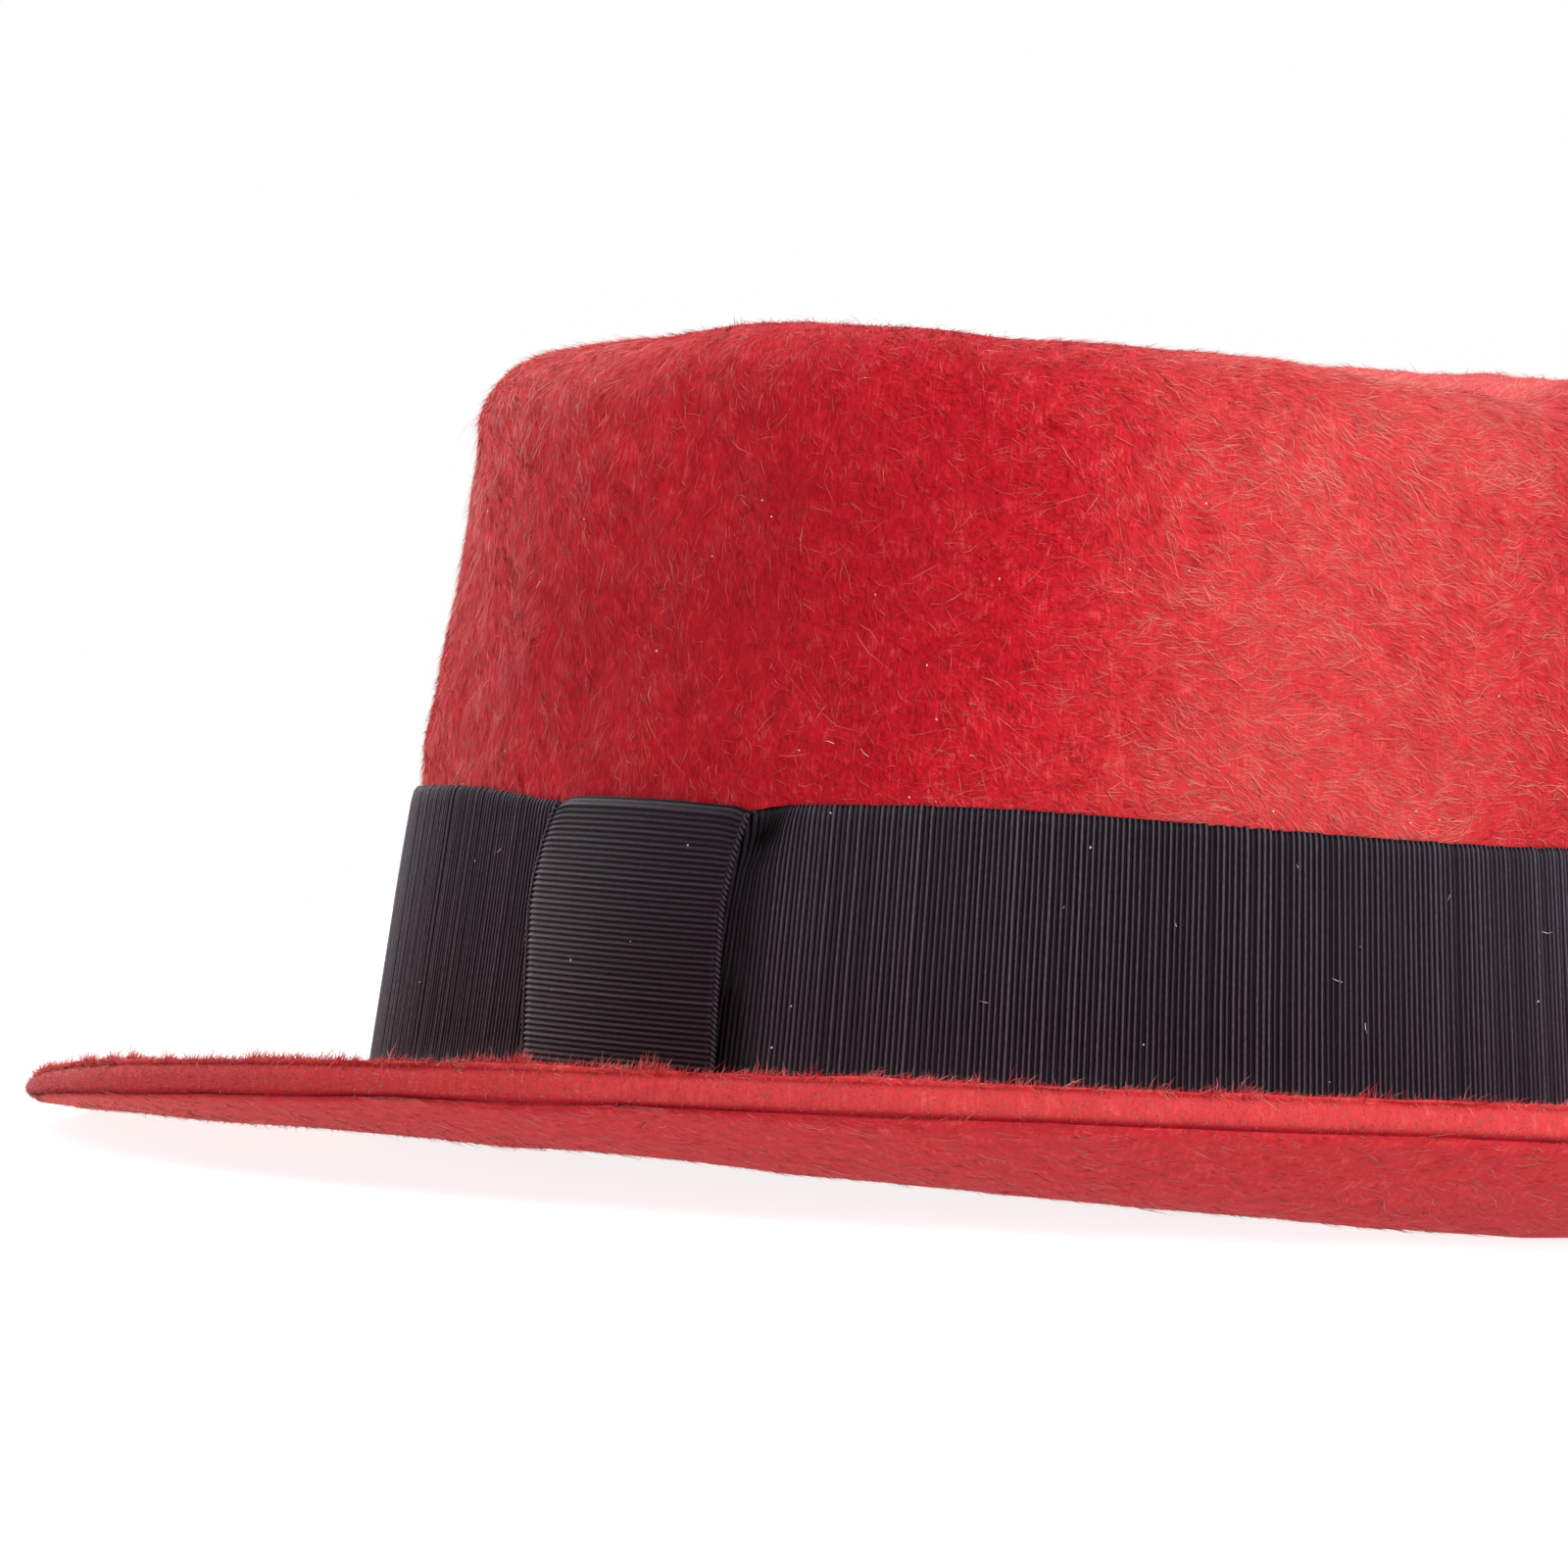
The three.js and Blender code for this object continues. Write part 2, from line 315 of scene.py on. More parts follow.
def corner_indices(mesh):
    corners = np.empty(len(mesh.loops), np.int32)
    mesh.loops.foreach_get("vertex_index", corners)
    return corners


def add_map(mesh, name, places):
    """A UV map from one place for each corner."""
    layer = mesh.uv_layers.new(name=name, do_init=False)
    layer.uv.foreach_set("vector", np.asarray(places, np.float32).ravel())


def add_values(mesh, **values):
    """Named values on the points, for the materials."""
    for name, numbers in values.items():
        layer = mesh.attributes.new(name, "FLOAT", "POINT")
        layer.data.foreach_set("value", np.asarray(numbers, np.float32).ravel())


def add_piece(name, mesh, material, slot, *nodes):
    """Puts a finished mesh in the scene as a piece that rides on the hat's one body."""
    mesh.materials.append(material)
    piece = bpy.data.objects.new(name, mesh)
    bpy.context.scene.collection.objects.link(piece)
    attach(piece, "root")
    if nodes:
        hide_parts(*nodes)
    return piece


def grid_quads(rows, columns, closed):
    """Faces of a grid of points, row by row, whose columns may close on themselves."""
    steps = columns if closed else columns - 1
    row, column = np.meshgrid(np.arange(rows - 1), np.arange(steps), indexing="ij")
    here = (row * columns + column).ravel()
    beside = (row * columns + (column + 1) % columns).ravel()
    return np.stack([here, here + columns, beside + columns, beside], 1)


# ---- The felt's grid ----
# Stretches of the section in order, with the shares at which each has a ring.
SECTION = [
    ("top", top_point, np.append(0.006, np.linspace(0, 1, 23)[1:-1])),
    ("corner", corner_point, np.linspace(1, 0, 9)),
    ("wall", lambda a, s: wall_point(a, wall_share(a, s)), np.linspace(1, 0, 28)[1:]),
    ("zone", wall_point, np.linspace(RIBBON_ZONE, FOOT_FLARE, 11)[1:]),
    ("zone", wall_point, np.linspace(FOOT_FLARE, 0, 5)[1:]),
    ("brim_top", rolled_brim_top, np.linspace(0, 0.88, 17)[1:]),
    ("brim_top", rolled_brim_top, [0.905, 0.925, 0.94, 0.952, 0.962, 0.972, 0.98, 0.988, 0.995, 1.0]),
    ("edge", cut_edge, [0.03, 0.07, 0.13, 0.22, 0.36, 0.5, 0.64, 0.76, 0.84, 0.89, 0.93, 0.97]),
    ("brim_under", brim_under, np.linspace(1, 0, 18)),
    ("inside", inside_bend, np.linspace(0, 1, 5)[1:]),
    ("inside", lambda a, h: wall_point(a, h, -FELT), np.linspace(FOOT_FLARE, RIBBON_ZONE, 5)[1:]),
    ("inside", lambda a, s: wall_point(a, wall_share(a, s), -FELT), np.linspace(0, 1, 8)[1:-1]),
    ("inside", lambda a, s: corner_point(a, s, FELT), np.linspace(0, 1, 5)),
    ("inside", lambda a, s: top_point(a, s, FELT), np.linspace(1, 0, 14)[1:-1]),
]
# How freely the felt's faces wander on each stretch. It is 1 on those that aren't listed.
FREEDOM = {"zone": 0.0, "brim_top": 0.5, "edge": 0.4, "brim_under": 0.5}
CALM_HEIGHT = 0.006  # height above the ribbon over which the wall's own wandering sets in
WANDER = [(1.0, 0.030, 11), (0.45, 0.011, 12)]  # depth, wavelength and seed of each ripple


class FeltGrid:
    """The felt as rings by columns, with normals and the directions round the hat and down its section."""

    def __init__(self, columns, waviness):
        self.angles = np.arange(columns) * 360 / columns
        rings, self.stretch = [], []
        for stretch, point, shares in SECTION:
            for share in shares:
                rings.append(point(self.angles, share))
                self.stretch.append(stretch)
        self.points = np.array(rings)
        self.stretch = np.array(self.stretch)
        self.find_directions()
        self.make_wavy(waviness)
        self.find_directions()

    def find_directions(self):
        self.round = unit(np.roll(self.points, -1, 1) - np.roll(self.points, 1, 1))
        self.down = unit(np.gradient(self.points, axis=0))
        self.normals = unit(np.cross(self.down, self.round))

    def make_wavy(self, waviness):
        """Hand-worked felt is never true: its faces wander by a fraction of a millimetre."""
        free = np.array([FREEDOM.get(stretch, 1.0) for stretch in self.stretch])
        ribbon = RIBBON_ZONE + FELT + foot_height(self.angles)
        clear = np.clip((self.points[..., 2] - ribbon) / CALM_HEIGHT, 0, 1)
        weight = free[:, None] * np.where((self.stretch == "wall")[:, None], clear, 1.0)
        wander = ripples(self.points, WANDER)
        self.points = self.points + self.normals * (weight * wander * waviness)[..., None]
        under = self.stretch == "brim_under"
        self.points[under, :, 2] = np.maximum(self.points[under, :, 2], 0)

    def scatter(self, rng, count, stretches, weigh=None):
        """Random places on some stretches, by area, as a dictionary of arrays."""
        rows = np.flatnonzero(np.isin(self.stretch, stretches))
        rows = rows[rows < len(self.points) - 1]
        down = self.points[rows + 1] - self.points[rows]
        across = np.roll(self.points, -1, 1)[rows] - self.points[rows]
        weight = np.linalg.norm(np.cross(down, across), axis=-1)
        if weigh is not None:
            weight = weight * weigh(self.angles[None, :], self.points[rows])
        chosen = rng.choice(weight.size, count, p=weight.ravel() / weight.sum())
        row, column = rows[chosen // len(self.angles)], chosen % len(self.angles)
        u, v = rng.random((2, count, 1))

        def between(values):
            beside = (column + 1) % len(self.angles)
            upper = values[row, column] * (1 - u) + values[row, beside] * u
            lower = values[row + 1, column] * (1 - u) + values[row + 1, beside] * u
            return upper * (1 - v) + lower * v

        return {
            "point": between(self.points),
            "normal": unit(between(self.normals)),
            "round": unit(between(self.round)),
            "down": unit(between(self.down)),
            "angle": (self.angles[column] + u[:, 0] * 360 / len(self.angles)) % 360,
        }


felt_grids = {}


def felt_grid(settings):
    """The grid for these settings, worked out once for the shell and its nap."""
    key = (settings.columns, settings.waviness)
    if key not in felt_grids:
        felt_grids[key] = FeltGrid(*key)
    return felt_grids[key]


# ---- Materials ----
SHEEN = (1.0, 0.80, 0.72, 1)  # the pale bloom of red fibres at a low angle
WHITE = (1, 1, 1, 1)


class Nodes:
    """Short ways to add and join the shader nodes of a material or a world."""

    def __init__(self, owner):
        owner.use_nodes = True
        self.owner = owner
        self.tree = owner.node_tree
        self.tree.nodes.clear()

    def add(self, kind, **inputs):
        node = self.tree.nodes.new("ShaderNode" + kind)
        for name, value in inputs.items():
            self.feed(node, name.replace("_", " "), value)
        return node

    def feed(self, node, place, value):
        """Links or sets the input of a node at a place, which is its name or its number."""
        socket = node.inputs[place]
        if isinstance(value, bpy.types.NodeSocket):
            self.tree.links.new(value, socket)
        else:
            socket.default_value = value

    def value(self, name):
        node = self.add("Attribute")
        node.attribute_name = name
        return node.outputs["Fac"]

    def place(self):
        return self.add("TexCoord").outputs["Object"]

    def map(self, name):
        node = self.add("UVMap")
        node.uv_map = name
        return node.outputs["UV"]

    def noise(self, vector, scale, detail=2.0, roughness=0.5):
        node = self.add("TexNoise", Vector=vector, Scale=scale, Detail=detail, Roughness=roughness)
        return node.outputs["Fac"]

    def scaled(self, vector, x, y, z):
        node = self.add("VectorMath", Vector=vector)
        node.operation = "MULTIPLY"
        node.inputs[1].default_value = (x, y, z)
        return node.outputs["Vector"]

    def math(self, operation, a, b=0.0):
        node = self.add("Math")
        node.operation = operation
        for i, value in enumerate((a, b)):
            self.feed(node, i, value)
        return node.outputs[0]

    def distance(self, vector):
        """Distance of a place from the middle of its object."""
        node = self.add("VectorMath", Vector=vector)
        node.operation = "LENGTH"
        return node.outputs["Value"]

    def range(self, value, low, high, first, last):
        """Goes smoothly from first to last as the value goes from low to high."""
        node = self.add("MapRange", Value=value, From_Min=low, From_Max=high, To_Min=first, To_Max=last)
        node.interpolation_type = "SMOOTHSTEP"
        return node.outputs["Result"]

    def ramp(self, value, *stops):
        """A colour ramp through (place, colour) stops."""
        node = self.add("ValToRGB", Fac=value)
        elements = node.color_ramp.elements
        while len(elements) < len(stops):
            elements.new(0.5)
        for element, (place, colour) in zip(elements, stops):
            element.position = place
            element.color = (*colour[:3], 1)
        return node.outputs["Color"]

    def mix(self, factor, first, second):
        """Goes from the first colour to the second as the factor goes from 0 to 1."""
        node = self.add("Mix")
        node.data_type = "RGBA"
        self.feed(node, 0, factor)
        for place, colour in ((6, first), (7, second)):
            linked = isinstance(colour, bpy.types.NodeSocket)
            self.feed(node, place, colour if linked else (*colour[:3], 1))
        return node.outputs[2]

    def bump(self, height, strength, distance):
        return self.add("Bump", Height=height, Strength=strength, Distance=distance).outputs["Normal"]

    def finish(self, colour, normal=None, thin=0.0, **surface):
        """The surface of a material. thin is the share of light that shows through it from behind."""
        shader = self.add("BsdfPrincipled", Base_Color=colour)
        for name, value in surface.items():
            self.feed(shader, name.replace("_", " "), value)
        if normal is not None:
            self.feed(shader, "Normal", normal)
        if thin > 0:
            shader = self.blend(thin, shader, self.add("BsdfTranslucent", Color=colour))
        self.add("OutputMaterial", Surface=shader.outputs[0])
        return self.owner

    def blend(self, share, first, second):
        """A shader that goes from the first one to the second as the share goes from 0 to 1."""
        both = self.add("MixShader", Fac=share)
        self.feed(both, 1, first.outputs[0])
        self.feed(both, 2, second.outputs[0])
        return both


def material_nodes(name):
    return Nodes(bpy.data.materials.new(name))


def felt_material(felt):
    """Matted felt under the nap: dark, streaked along the comb and mottled, with painted light where its pale
    value rises and painted shade where its crease value rises.
    """
    nodes = material_nodes("felt")
    across = nodes.map("felt_map")
    streak = nodes.noise(nodes.scaled(across, 2200, 420, 1), 1.0, 4.0, 0.6)
    mottle = nodes.noise(nodes.place(), 330, 5.0, 0.65)
    both = nodes.math("ADD", nodes.math("MULTIPLY", streak, 0.5), nodes.math("MULTIPLY", mottle, 0.5))
    deep = tuple(0.7 * c for c in felt.colour)
    colour = nodes.ramp(both, (0.38, deep), (0.54, felt.colour), (0.70, felt.streak_and_light_colour))
    # The paleness of each stretch and painted light turn the felt towards the paler colour.
    colour = nodes.mix(nodes.value("pale"), colour, felt.streak_and_light_colour)
    # Painted shade: the crease value darkens the felt in the cut edge's creases, on parts of the edge and the
    # underside, and in the crown's painted shade.
    colour = nodes.mix(nodes.value("crease"), colour, tuple(0.6 * c for c in felt.colour))
    normal = nodes.bump(both, 0.8, 0.0005)
    surface = dict(Roughness=0.9, Specular_IOR_Level=0.12, Sheen_Weight=0.05, Sheen_Roughness=0.5)
    return nodes.finish(colour, normal, **surface, Sheen_Tint=SHEEN)


def nap_material(name, felt, nap, red=1.0):
    """Hairs of the nap, each of its own tone, deeper at the root than at the tip through painted shade among
    the hairs. red is the share of their red that they keep; below 1 it makes dimmer copies for painted shade."""
    dyed = (felt.colour, nap.light_colour, nap.pale_colour)
    deep, light, pale = ((red * colour[0], colour[1], colour[2]) for colour in dyed)
    nodes = material_nodes(name)
    tone = nodes.ramp(
        nodes.value("tone"),
        (0.0, tuple(0.76 * c for c in deep)),
        (0.3, deep),
        (0.7, light),
        (1.0, pale),
    )
    # Painted shade at the root of each hair.
    root = nodes.math("MULTIPLY", nodes.math("SUBTRACT", 1.0, nodes.value("along")), 0.6)
    colour = nodes.mix(root, tone, tuple(0.6 * c for c in deep))
    surface = dict(Roughness=0.5, Specular_IOR_Level=0.16, Sheen_Weight=0.03, Sheen_Roughness=0.5)
    return nodes.finish(colour, None, 0.22, **surface, Sheen_Tint=SHEEN)


def grosgrain_material(ribbon):
    """Ribbed ribbon: dark threads with a dull shine, finely crossed by the warp, with painted glints on
    single threads of the ridges and painted shade that makes the grooves black.
    """
    nodes = material_nodes("grosgrain")
    weave = nodes.map("rib_map")
    threads = nodes.noise(nodes.scaled(weave, 1100, 5200, 1), 1.0, 3.0, 0.65)
    drift = nodes.noise(nodes.place(), 45, 3.0, 0.6)
    crest = nodes.value("crest")
    ridge = nodes.math("POWER", crest, 3.5)
    colour = nodes.mix(nodes.math("MULTIPLY", drift, 0.8), ribbon.colour, ribbon.warm_colour)
    # Painted glints on single threads along the ridges.
    painted_glint = nodes.math("MULTIPLY", nodes.math("POWER", threads, 2.0), 1.6)
    colour = nodes.mix(nodes.math("MULTIPLY", painted_glint, ridge), colour, ribbon.thread_colour)
    # Painted shade: where the crest value is low the ribbon goes nearly black.
    colour = nodes.mix(ridge, tuple(0.02 * c for c in ribbon.colour), colour)
    normal = nodes.bump(threads, 0.8, 0.00014)
    surface = dict(Roughness=0.52, Specular_IOR_Level=0.16, Specular_Tint=(1.0, 0.84, 1.0, 1))
    return nodes.finish(colour, normal, **surface)


def lint_material():
    """Pale dust and loose fibres caught on the cloth."""
    nodes = material_nodes("lint")
    colour = nodes.mix(nodes.noise(nodes.place(), 900), (0.80, 0.76, 0.74), (0.50, 0.40, 0.40))
    return nodes.finish(colour, None, Roughness=0.8)


# ---- The nap ----
SHORT, LONG = 2, 3  # joints of the spine of a short straight hair and of a long bent one
# Angles round the hat, and which way the nap of the crown's wall is combed there: 0 is down, 90 round
# the hat.
COMBED = [
    (0, 60), (40, 30), (80, 12), (100, 30), (125, 74), (150, 84), (168, 76), (185, 60), (230, 70), (300, 80),
    (360, 60),
]
# Which way the nap is combed elsewhere, and how far single hairs stray from it, in degrees.
TOP_COMB, BRIM_COMB, UNDER_COMB, RIM_COMB = (62, 34), (78, 30), (86, 18), (75, 50)
SPINE_BEND = 16  # degrees by which a hair bends at its middle joint
HAIR_TWIST = 24  # and by which it is turned on its spine

# Broad patches of painted light and shade on the crown's nap: a painted highlight on the key lamp's side,
# painted shade between the lamps and a painted highlight on the side lamp's side. Each gives how much paler
# it is, the angle of the patch at the level given next, and its spread. They lean by the degrees given
# after that for each metre of height.
PAINTED_LIGHT_AND_SHADE = [(0.44, 152, 29), (-0.29, 100, 23), (0.16, 34, 20)]
PAINTED_PATCH_LEVEL = 0.07
PAINTED_PATCH_LEAN = 200
PAINTED_PATCH_LIMITS = {SHORT: (-0.14, 1), LONG: (-0.12, 0.30)}  # how far the two kinds of hair follow the painted light and shade
CORNER_HIGHLIGHT = 0.10  # painted highlight from above: how much paler it is towards the corner, from which height and over what rise
CORNER_HIGHLIGHT_START = 0.095
CORNER_HIGHLIGHT_RISE = 0.02
CROWN_TONES = {SHORT: 0.17, LONG: 0.195}  # spread of the tones of the two kinds on the crown
COMB_STRAY = 17  # degrees by which single hairs of the crown's wall stray from the comb
MATTED_STRAY = 20  # and by how much more round MATTED_ANGLE
MATTED_ANGLE = 108
MATTED_SPREAD = 20

# Locks of hair, from fine to broad: depth, wavelength and seed of each ripple of their tone, in shares, and
# of their direction, in degrees.
LOCK_TONES = [(0.055, 0.0026, 51), (0.06, 0.0065, 52), (0.05, 0.017, 53)]
LOCK_TURNS = [(14, 0.022, 31), (14, 0.0048, 34)]
LOCK_RELIEF = 0.09  # how far the shading sways from lock to lock
ROOT_DEPTH = 0.0001  # of the hairs' roots in the felt
LOWEST_HAIR = 0.00015  # height above the table under which no hair reaches
PALEST = 0.95  # the highest tone
RIGHT_SHARE = 0.75  # hairs on the crown's right half, as a share of those on its left
FRINGE_SHARE = 0.992  # where the fringe stands, as a share of the brim's outline, and its spread
FRINGE_SPREAD = 0.009


def lay_of_nap(angle):
    """Which way the nap is combed on the crown's wall: 0 is down, 90 round the hat."""
    return np.interp(angle, *zip(*COMBED))


def painted_light_under_brim(angle):
    """How near an angle is to the wearer's left front, where painted light from the side makes the underside
    of the brim palest.
    """
    return bell(angle - 42, 24)


def height_on_wall(points, angle):
    return points[..., 2] - FELT - foot_height(angle)


def painted_light_and_shade_on_nap(points, angle):
    """Painted light and shade on the nap: paler in broad painted highlights, darker in painted shade, and
    paler towards the corner as a painted highlight from above, with a slight drift.
    """
    leaning = angle - PAINTED_PATCH_LEAN * (points[:, 2] - PAINTED_PATCH_LEVEL)
    painted_patches = sum(paler * bell(leaning - middle, spread) for paler, middle, spread in PAINTED_LIGHT_AND_SHADE)
    corner = CORNER_HIGHLIGHT * np.clip((points[:, 2] - CORNER_HIGHLIGHT_START) / CORNER_HIGHLIGHT_RISE, 0, 1)
    return painted_patches + corner + 0.04 * ripple(points, 0.045, 71)


def out_from_wall(points):
    """Angle, height above the crown's foot and distance out from the felt wall, for loose points."""
    x, y = points[:, 0], points[:, 1]
    angle = np.degrees(np.arctan2(x / HALF_WIDTH, -y / HALF_LENGTH))
    height = height_on_wall(points, angle)
    offset = wall_offset(angle, np.maximum(height, 0))
    scale = np.hypot(x / (HALF_WIDTH + offset), y / (HALF_LENGTH + offset))
    return angle, height, (scale - 1) * np.hypot(x, y) / scale


def move_out(points, distance):
    """Moves points straight out from the hat's axis."""
    radius = np.hypot(points[:, 0], points[:, 1])
    points[:, :2] *= (1 + distance / radius)[:, None]
    return points


TUCK_FADE = 0.0008  # height over which the hairs go behind the ribbon's upper edge
TUCKED_OUT = 0.0002  # how far out from the felt they lie behind it
LEANING_OUT = BAND_OUT + 0.0003  # and how far out the brim's hairs lean on it


def tuck_behind_ribbon(points):
    """Hairs that reach below the ribbon's upper edge lie behind it."""
    angle, height, out = out_from_wall(points)
    low = np.clip((ribbon_top(angle) + TUCK_FADE / 2 - height) / TUCK_FADE, 0, 1)
    return move_out(points, -low * np.maximum(out - TUCKED_OUT, 0))


def stay_outside_ribbon(points):
    """Hairs of the brim that reach the ribbon lean against its outside."""
    angle, height, out = out_from_wall(points)
    near = (height > RIBBON_LIFT) & (out < LEANING_OUT)
    return move_out(points, np.where(near, LEANING_OUT - out, 0))


def brushed(places, turn, spread, rng):
    """Directions that wander over the felt, from lock to lock and from hair to hair."""
    wander = ripples(places["point"], LOCK_TURNS)
    return turn + wander + rng.normal(0, spread, len(wander))


def tones(places, base, rng, spread=0.18):
    """Paleness of each hair, from 0 to 1, with locks and patches in common."""
    shared = ripples(places["point"], LOCK_TONES)
    return np.clip(base + shared + spread * rng.normal(size=len(shared)), 0, PALEST)


def spines(places, turn, lift, length, joints, rng):
    """Points along each hair, from root to tip: two of a straight one, three of a bent one."""
    def heading(turn):
        turn = np.radians(turn)[:, None]
        return unit(np.cos(turn) * places["down"] + np.sin(turn) * places["round"])

    rise = np.radians(lift)[:, None]
    step = length[:, None] / (joints - 1)
    line = [places["point"] - ROOT_DEPTH * places["normal"]]
    for joint in range(joints - 1):
        line.append(line[-1] + step * (np.cos(rise) * heading(turn) + np.sin(rise) * places["normal"]))
        turn = turn + rng.normal(0, SPINE_BEND, len(turn))
        rise = 0.4 * rise
    return np.stack(line, 1)


def hairs(places, spine, width, tone, rng, settle=None, softness=0.62):
    """Flat pointed hairs along spines. softness is the share of the felt's own normal in their shading, so
    that the nap takes the light as one soft surface. settle may move the points of the spines."""
    if settle is not None:
        spine = settle(spine.reshape(-1, 3)).reshape(spine.shape)
    spine[..., 2] = np.maximum(spine[..., 2], LOWEST_HAIR)
    count, joints = spine.shape[:2]
    along = unit(spine[:, 1] - spine[:, 0])
    twist = np.radians(rng.normal(0, HAIR_TWIST, count))[:, None]
    side = np.cos(twist) * unit(np.cross(along, places["normal"])) + np.sin(twist) * places["normal"]
    facing = unit(np.cross(side, along))
    sway = np.stack([ripple(places["point"], 0.0034, 41 + i) for i in range(3)], 1)
    normal = unit(softness * places["normal"] + (1 - softness) * facing + LOCK_RELIEF * sway)
    half = 0.5 * width[:, None] * side
    edges = [spine[:, j] + sign * (1 - 0.2 * j) * half for j in range(joints - 1) for sign in (-1, 1)]
    points = np.stack([*edges, spine[:, -1]], 1)
    return {"points": points, "normals": np.repeat(normal, points.shape[1], 0), "tone": tone}


# For hairs of 3 and of 5 points: faces, places on a small cell of the map, and how far along each point is.
BLADES = {
    3: ([[0, 1, 2]], [(0.15, 0.1), (0.85, 0.1), (0.5, 0.95)], [0.1, 0.1, 1.0]),
    5: (
        [[0, 1, 3, 2], [2, 3, 4]],
        [(0.15, 0.1), (0.85, 0.1), (0.2, 0.55), (0.8, 0.55), (0.5, 0.95)],
        [0.0, 0.0, 0.75, 0.75, 1.0],
    ),
}


def nap_mesh(name, kinds):
    """One mesh of all hairs of some kinds. Each hair has a small cell of the map to itself."""
    faces, cells, along, start = [], [], [], 0
    for i, kind in enumerate(kinds):
        count, each = kind["points"].shape[:2]
        shapes, corners, distances = BLADES[each]
        faces += [start + each * np.arange(count)[:, None] + shape for shape in shapes]
        side = math.ceil(math.sqrt(count))
        cell = np.stack([np.arange(count) % side, np.arange(count) // side], 1)
        places = (cell[:, None, :] + np.array(corners)) / side
        places[..., 0] = (places[..., 0] + i) / len(kinds)
        cells.append(places.reshape(-1, 2))
        along.append(np.tile(distances, count))
        start += count * each
    mesh = mesh_from(name, np.concatenate([kind["points"].reshape(-1, 3) for kind in kinds]), faces)
    tone = np.concatenate([np.repeat(kind["tone"], kind["points"].shape[1]) for kind in kinds])
    add_values(mesh, tone=tone, along=np.concatenate(along))
    add_map(mesh, "OFBake", np.concatenate(cells)[corner_indices(mesh)])
    mesh.normals_split_custom_set_from_vertices(np.concatenate([kind["normals"] for kind in kinds]))
    return mesh


def coat(nap, places, turn, tone, rng, joints, settle=None, lift=1.0, length=1.0, softness=0.62):
    """Hairs laid along turn at places. lift and length are multiples of the usual rise and length."""
    count = len(places["point"])
    usual = nap.length if joints == LONG else nap.short_length
    length = length * usual * rng.lognormal(-0.04, 0.32, count)
    width = nap.width * rng.uniform(0.7, 1.3, count) * (0.85 if joints == LONG else 1.0)
    rise = lift * np.abs(rng.normal(nap.lift, 7, count))
    if joints == LONG:
        loose = rng.random(count) < nap.loose
        length = np.where(loose, rng.uniform(1.3, 2.1, count) * length, length)
        rise = np.where(loose, rise + rng.uniform(2, 16, count), rise)
        tone = np.where(loose, rng.uniform(0.65, 0.88, count), tone)
    spine = spines(places, turn, np.clip(rise, 1, 75), length, joints, rng)
    return hairs(places, spine, width, tone, rng, settle, softness)


def crown_nap(name, grid, nap, left):
    """The long nap of one half of the crown's wall. It is matted on the wearer's left."""
    rng = np.random.default_rng(21 if left else 22)

    def weigh(angle, points):
        on_side = (np.sin(np.radians(angle)) >= 0) == left
        return on_side * (height_on_wall(points, angle) > ribbon_top(angle) + 0.0002)

    kinds = []
    for joints, count, base in ((SHORT, nap.crown_short, 0.22), (LONG, nap.crown_long, 0.43)):
        places = grid.scatter(rng, count if left else int(RIGHT_SHARE * count), ("corner", "wall"), weigh)
        stray = COMB_STRAY + MATTED_STRAY * bell(places["angle"] - MATTED_ANGLE, MATTED_SPREAD)
        turn = brushed(places, lay_of_nap(places["angle"]), stray, rng)
        # Painted light and shade from the broad patches sets the base tone of each hair.
        painted_patches = painted_light_and_shade_on_nap(places["point"], places["angle"])
        painted_patches = np.clip(painted_patches, *PAINTED_PATCH_LIMITS[joints])
        tone = tones(places, base + painted_patches, rng, CROWN_TONES[joints])
        kinds.append(coat(nap, places, turn, tone, rng, joints, tuck_behind_ribbon, softness=0.76))
    return nap_mesh(name, kinds)


def top_nap(name, grid, nap):
    """The nap of the crown's top, combed back and out, paler than the wall as a painted highlight from above.
    """
    rng = np.random.default_rng(23)
    kinds = []
    for joints, count, base in ((SHORT, nap.top_short, 0.62), (LONG, nap.top_long, 0.66)):
        places = grid.scatter(rng, count, ("top",))
        turn = brushed(places, *TOP_COMB, rng)
        kinds.append(coat(nap, places, turn, tones(places, base, rng), rng, joints))
    return nap_mesh(name, kinds)


def brim_nap(name, grid, nap):
    """Combed round the brim, and standing up a little towards its edge."""
    rng = np.random.default_rng(24)
    kinds = []
    for joints, count, base in ((SHORT, nap.brim_short, 0.46), (LONG, nap.brim_long, 0.54)):
        places = grid.scatter(rng, count, ("brim_top",))
        lift = 1 + 1.6 * np.clip((share_of_brim(places) - 0.8) / 0.2, 0, 1)
        turn = brushed(places, *BRIM_COMB, rng)
        tone = tones(places, base, rng)
        kinds.append(coat(nap, places, turn, tone, rng, joints, stay_outside_ribbon, lift))
    return nap_mesh(name, kinds)


def share_of_brim(places):
    """How far out on the brim each place lies, from 0 at the crown to 1 at the edge."""
    x, y = places["point"][:, 0], places["point"][:, 1]
    inner = np.hypot(x / HALF_WIDTH, y / HALF_LENGTH)
    radius = np.hypot(x, y)
    return np.clip((radius - radius / inner) / BRIM_WIDTH, 0, 1)


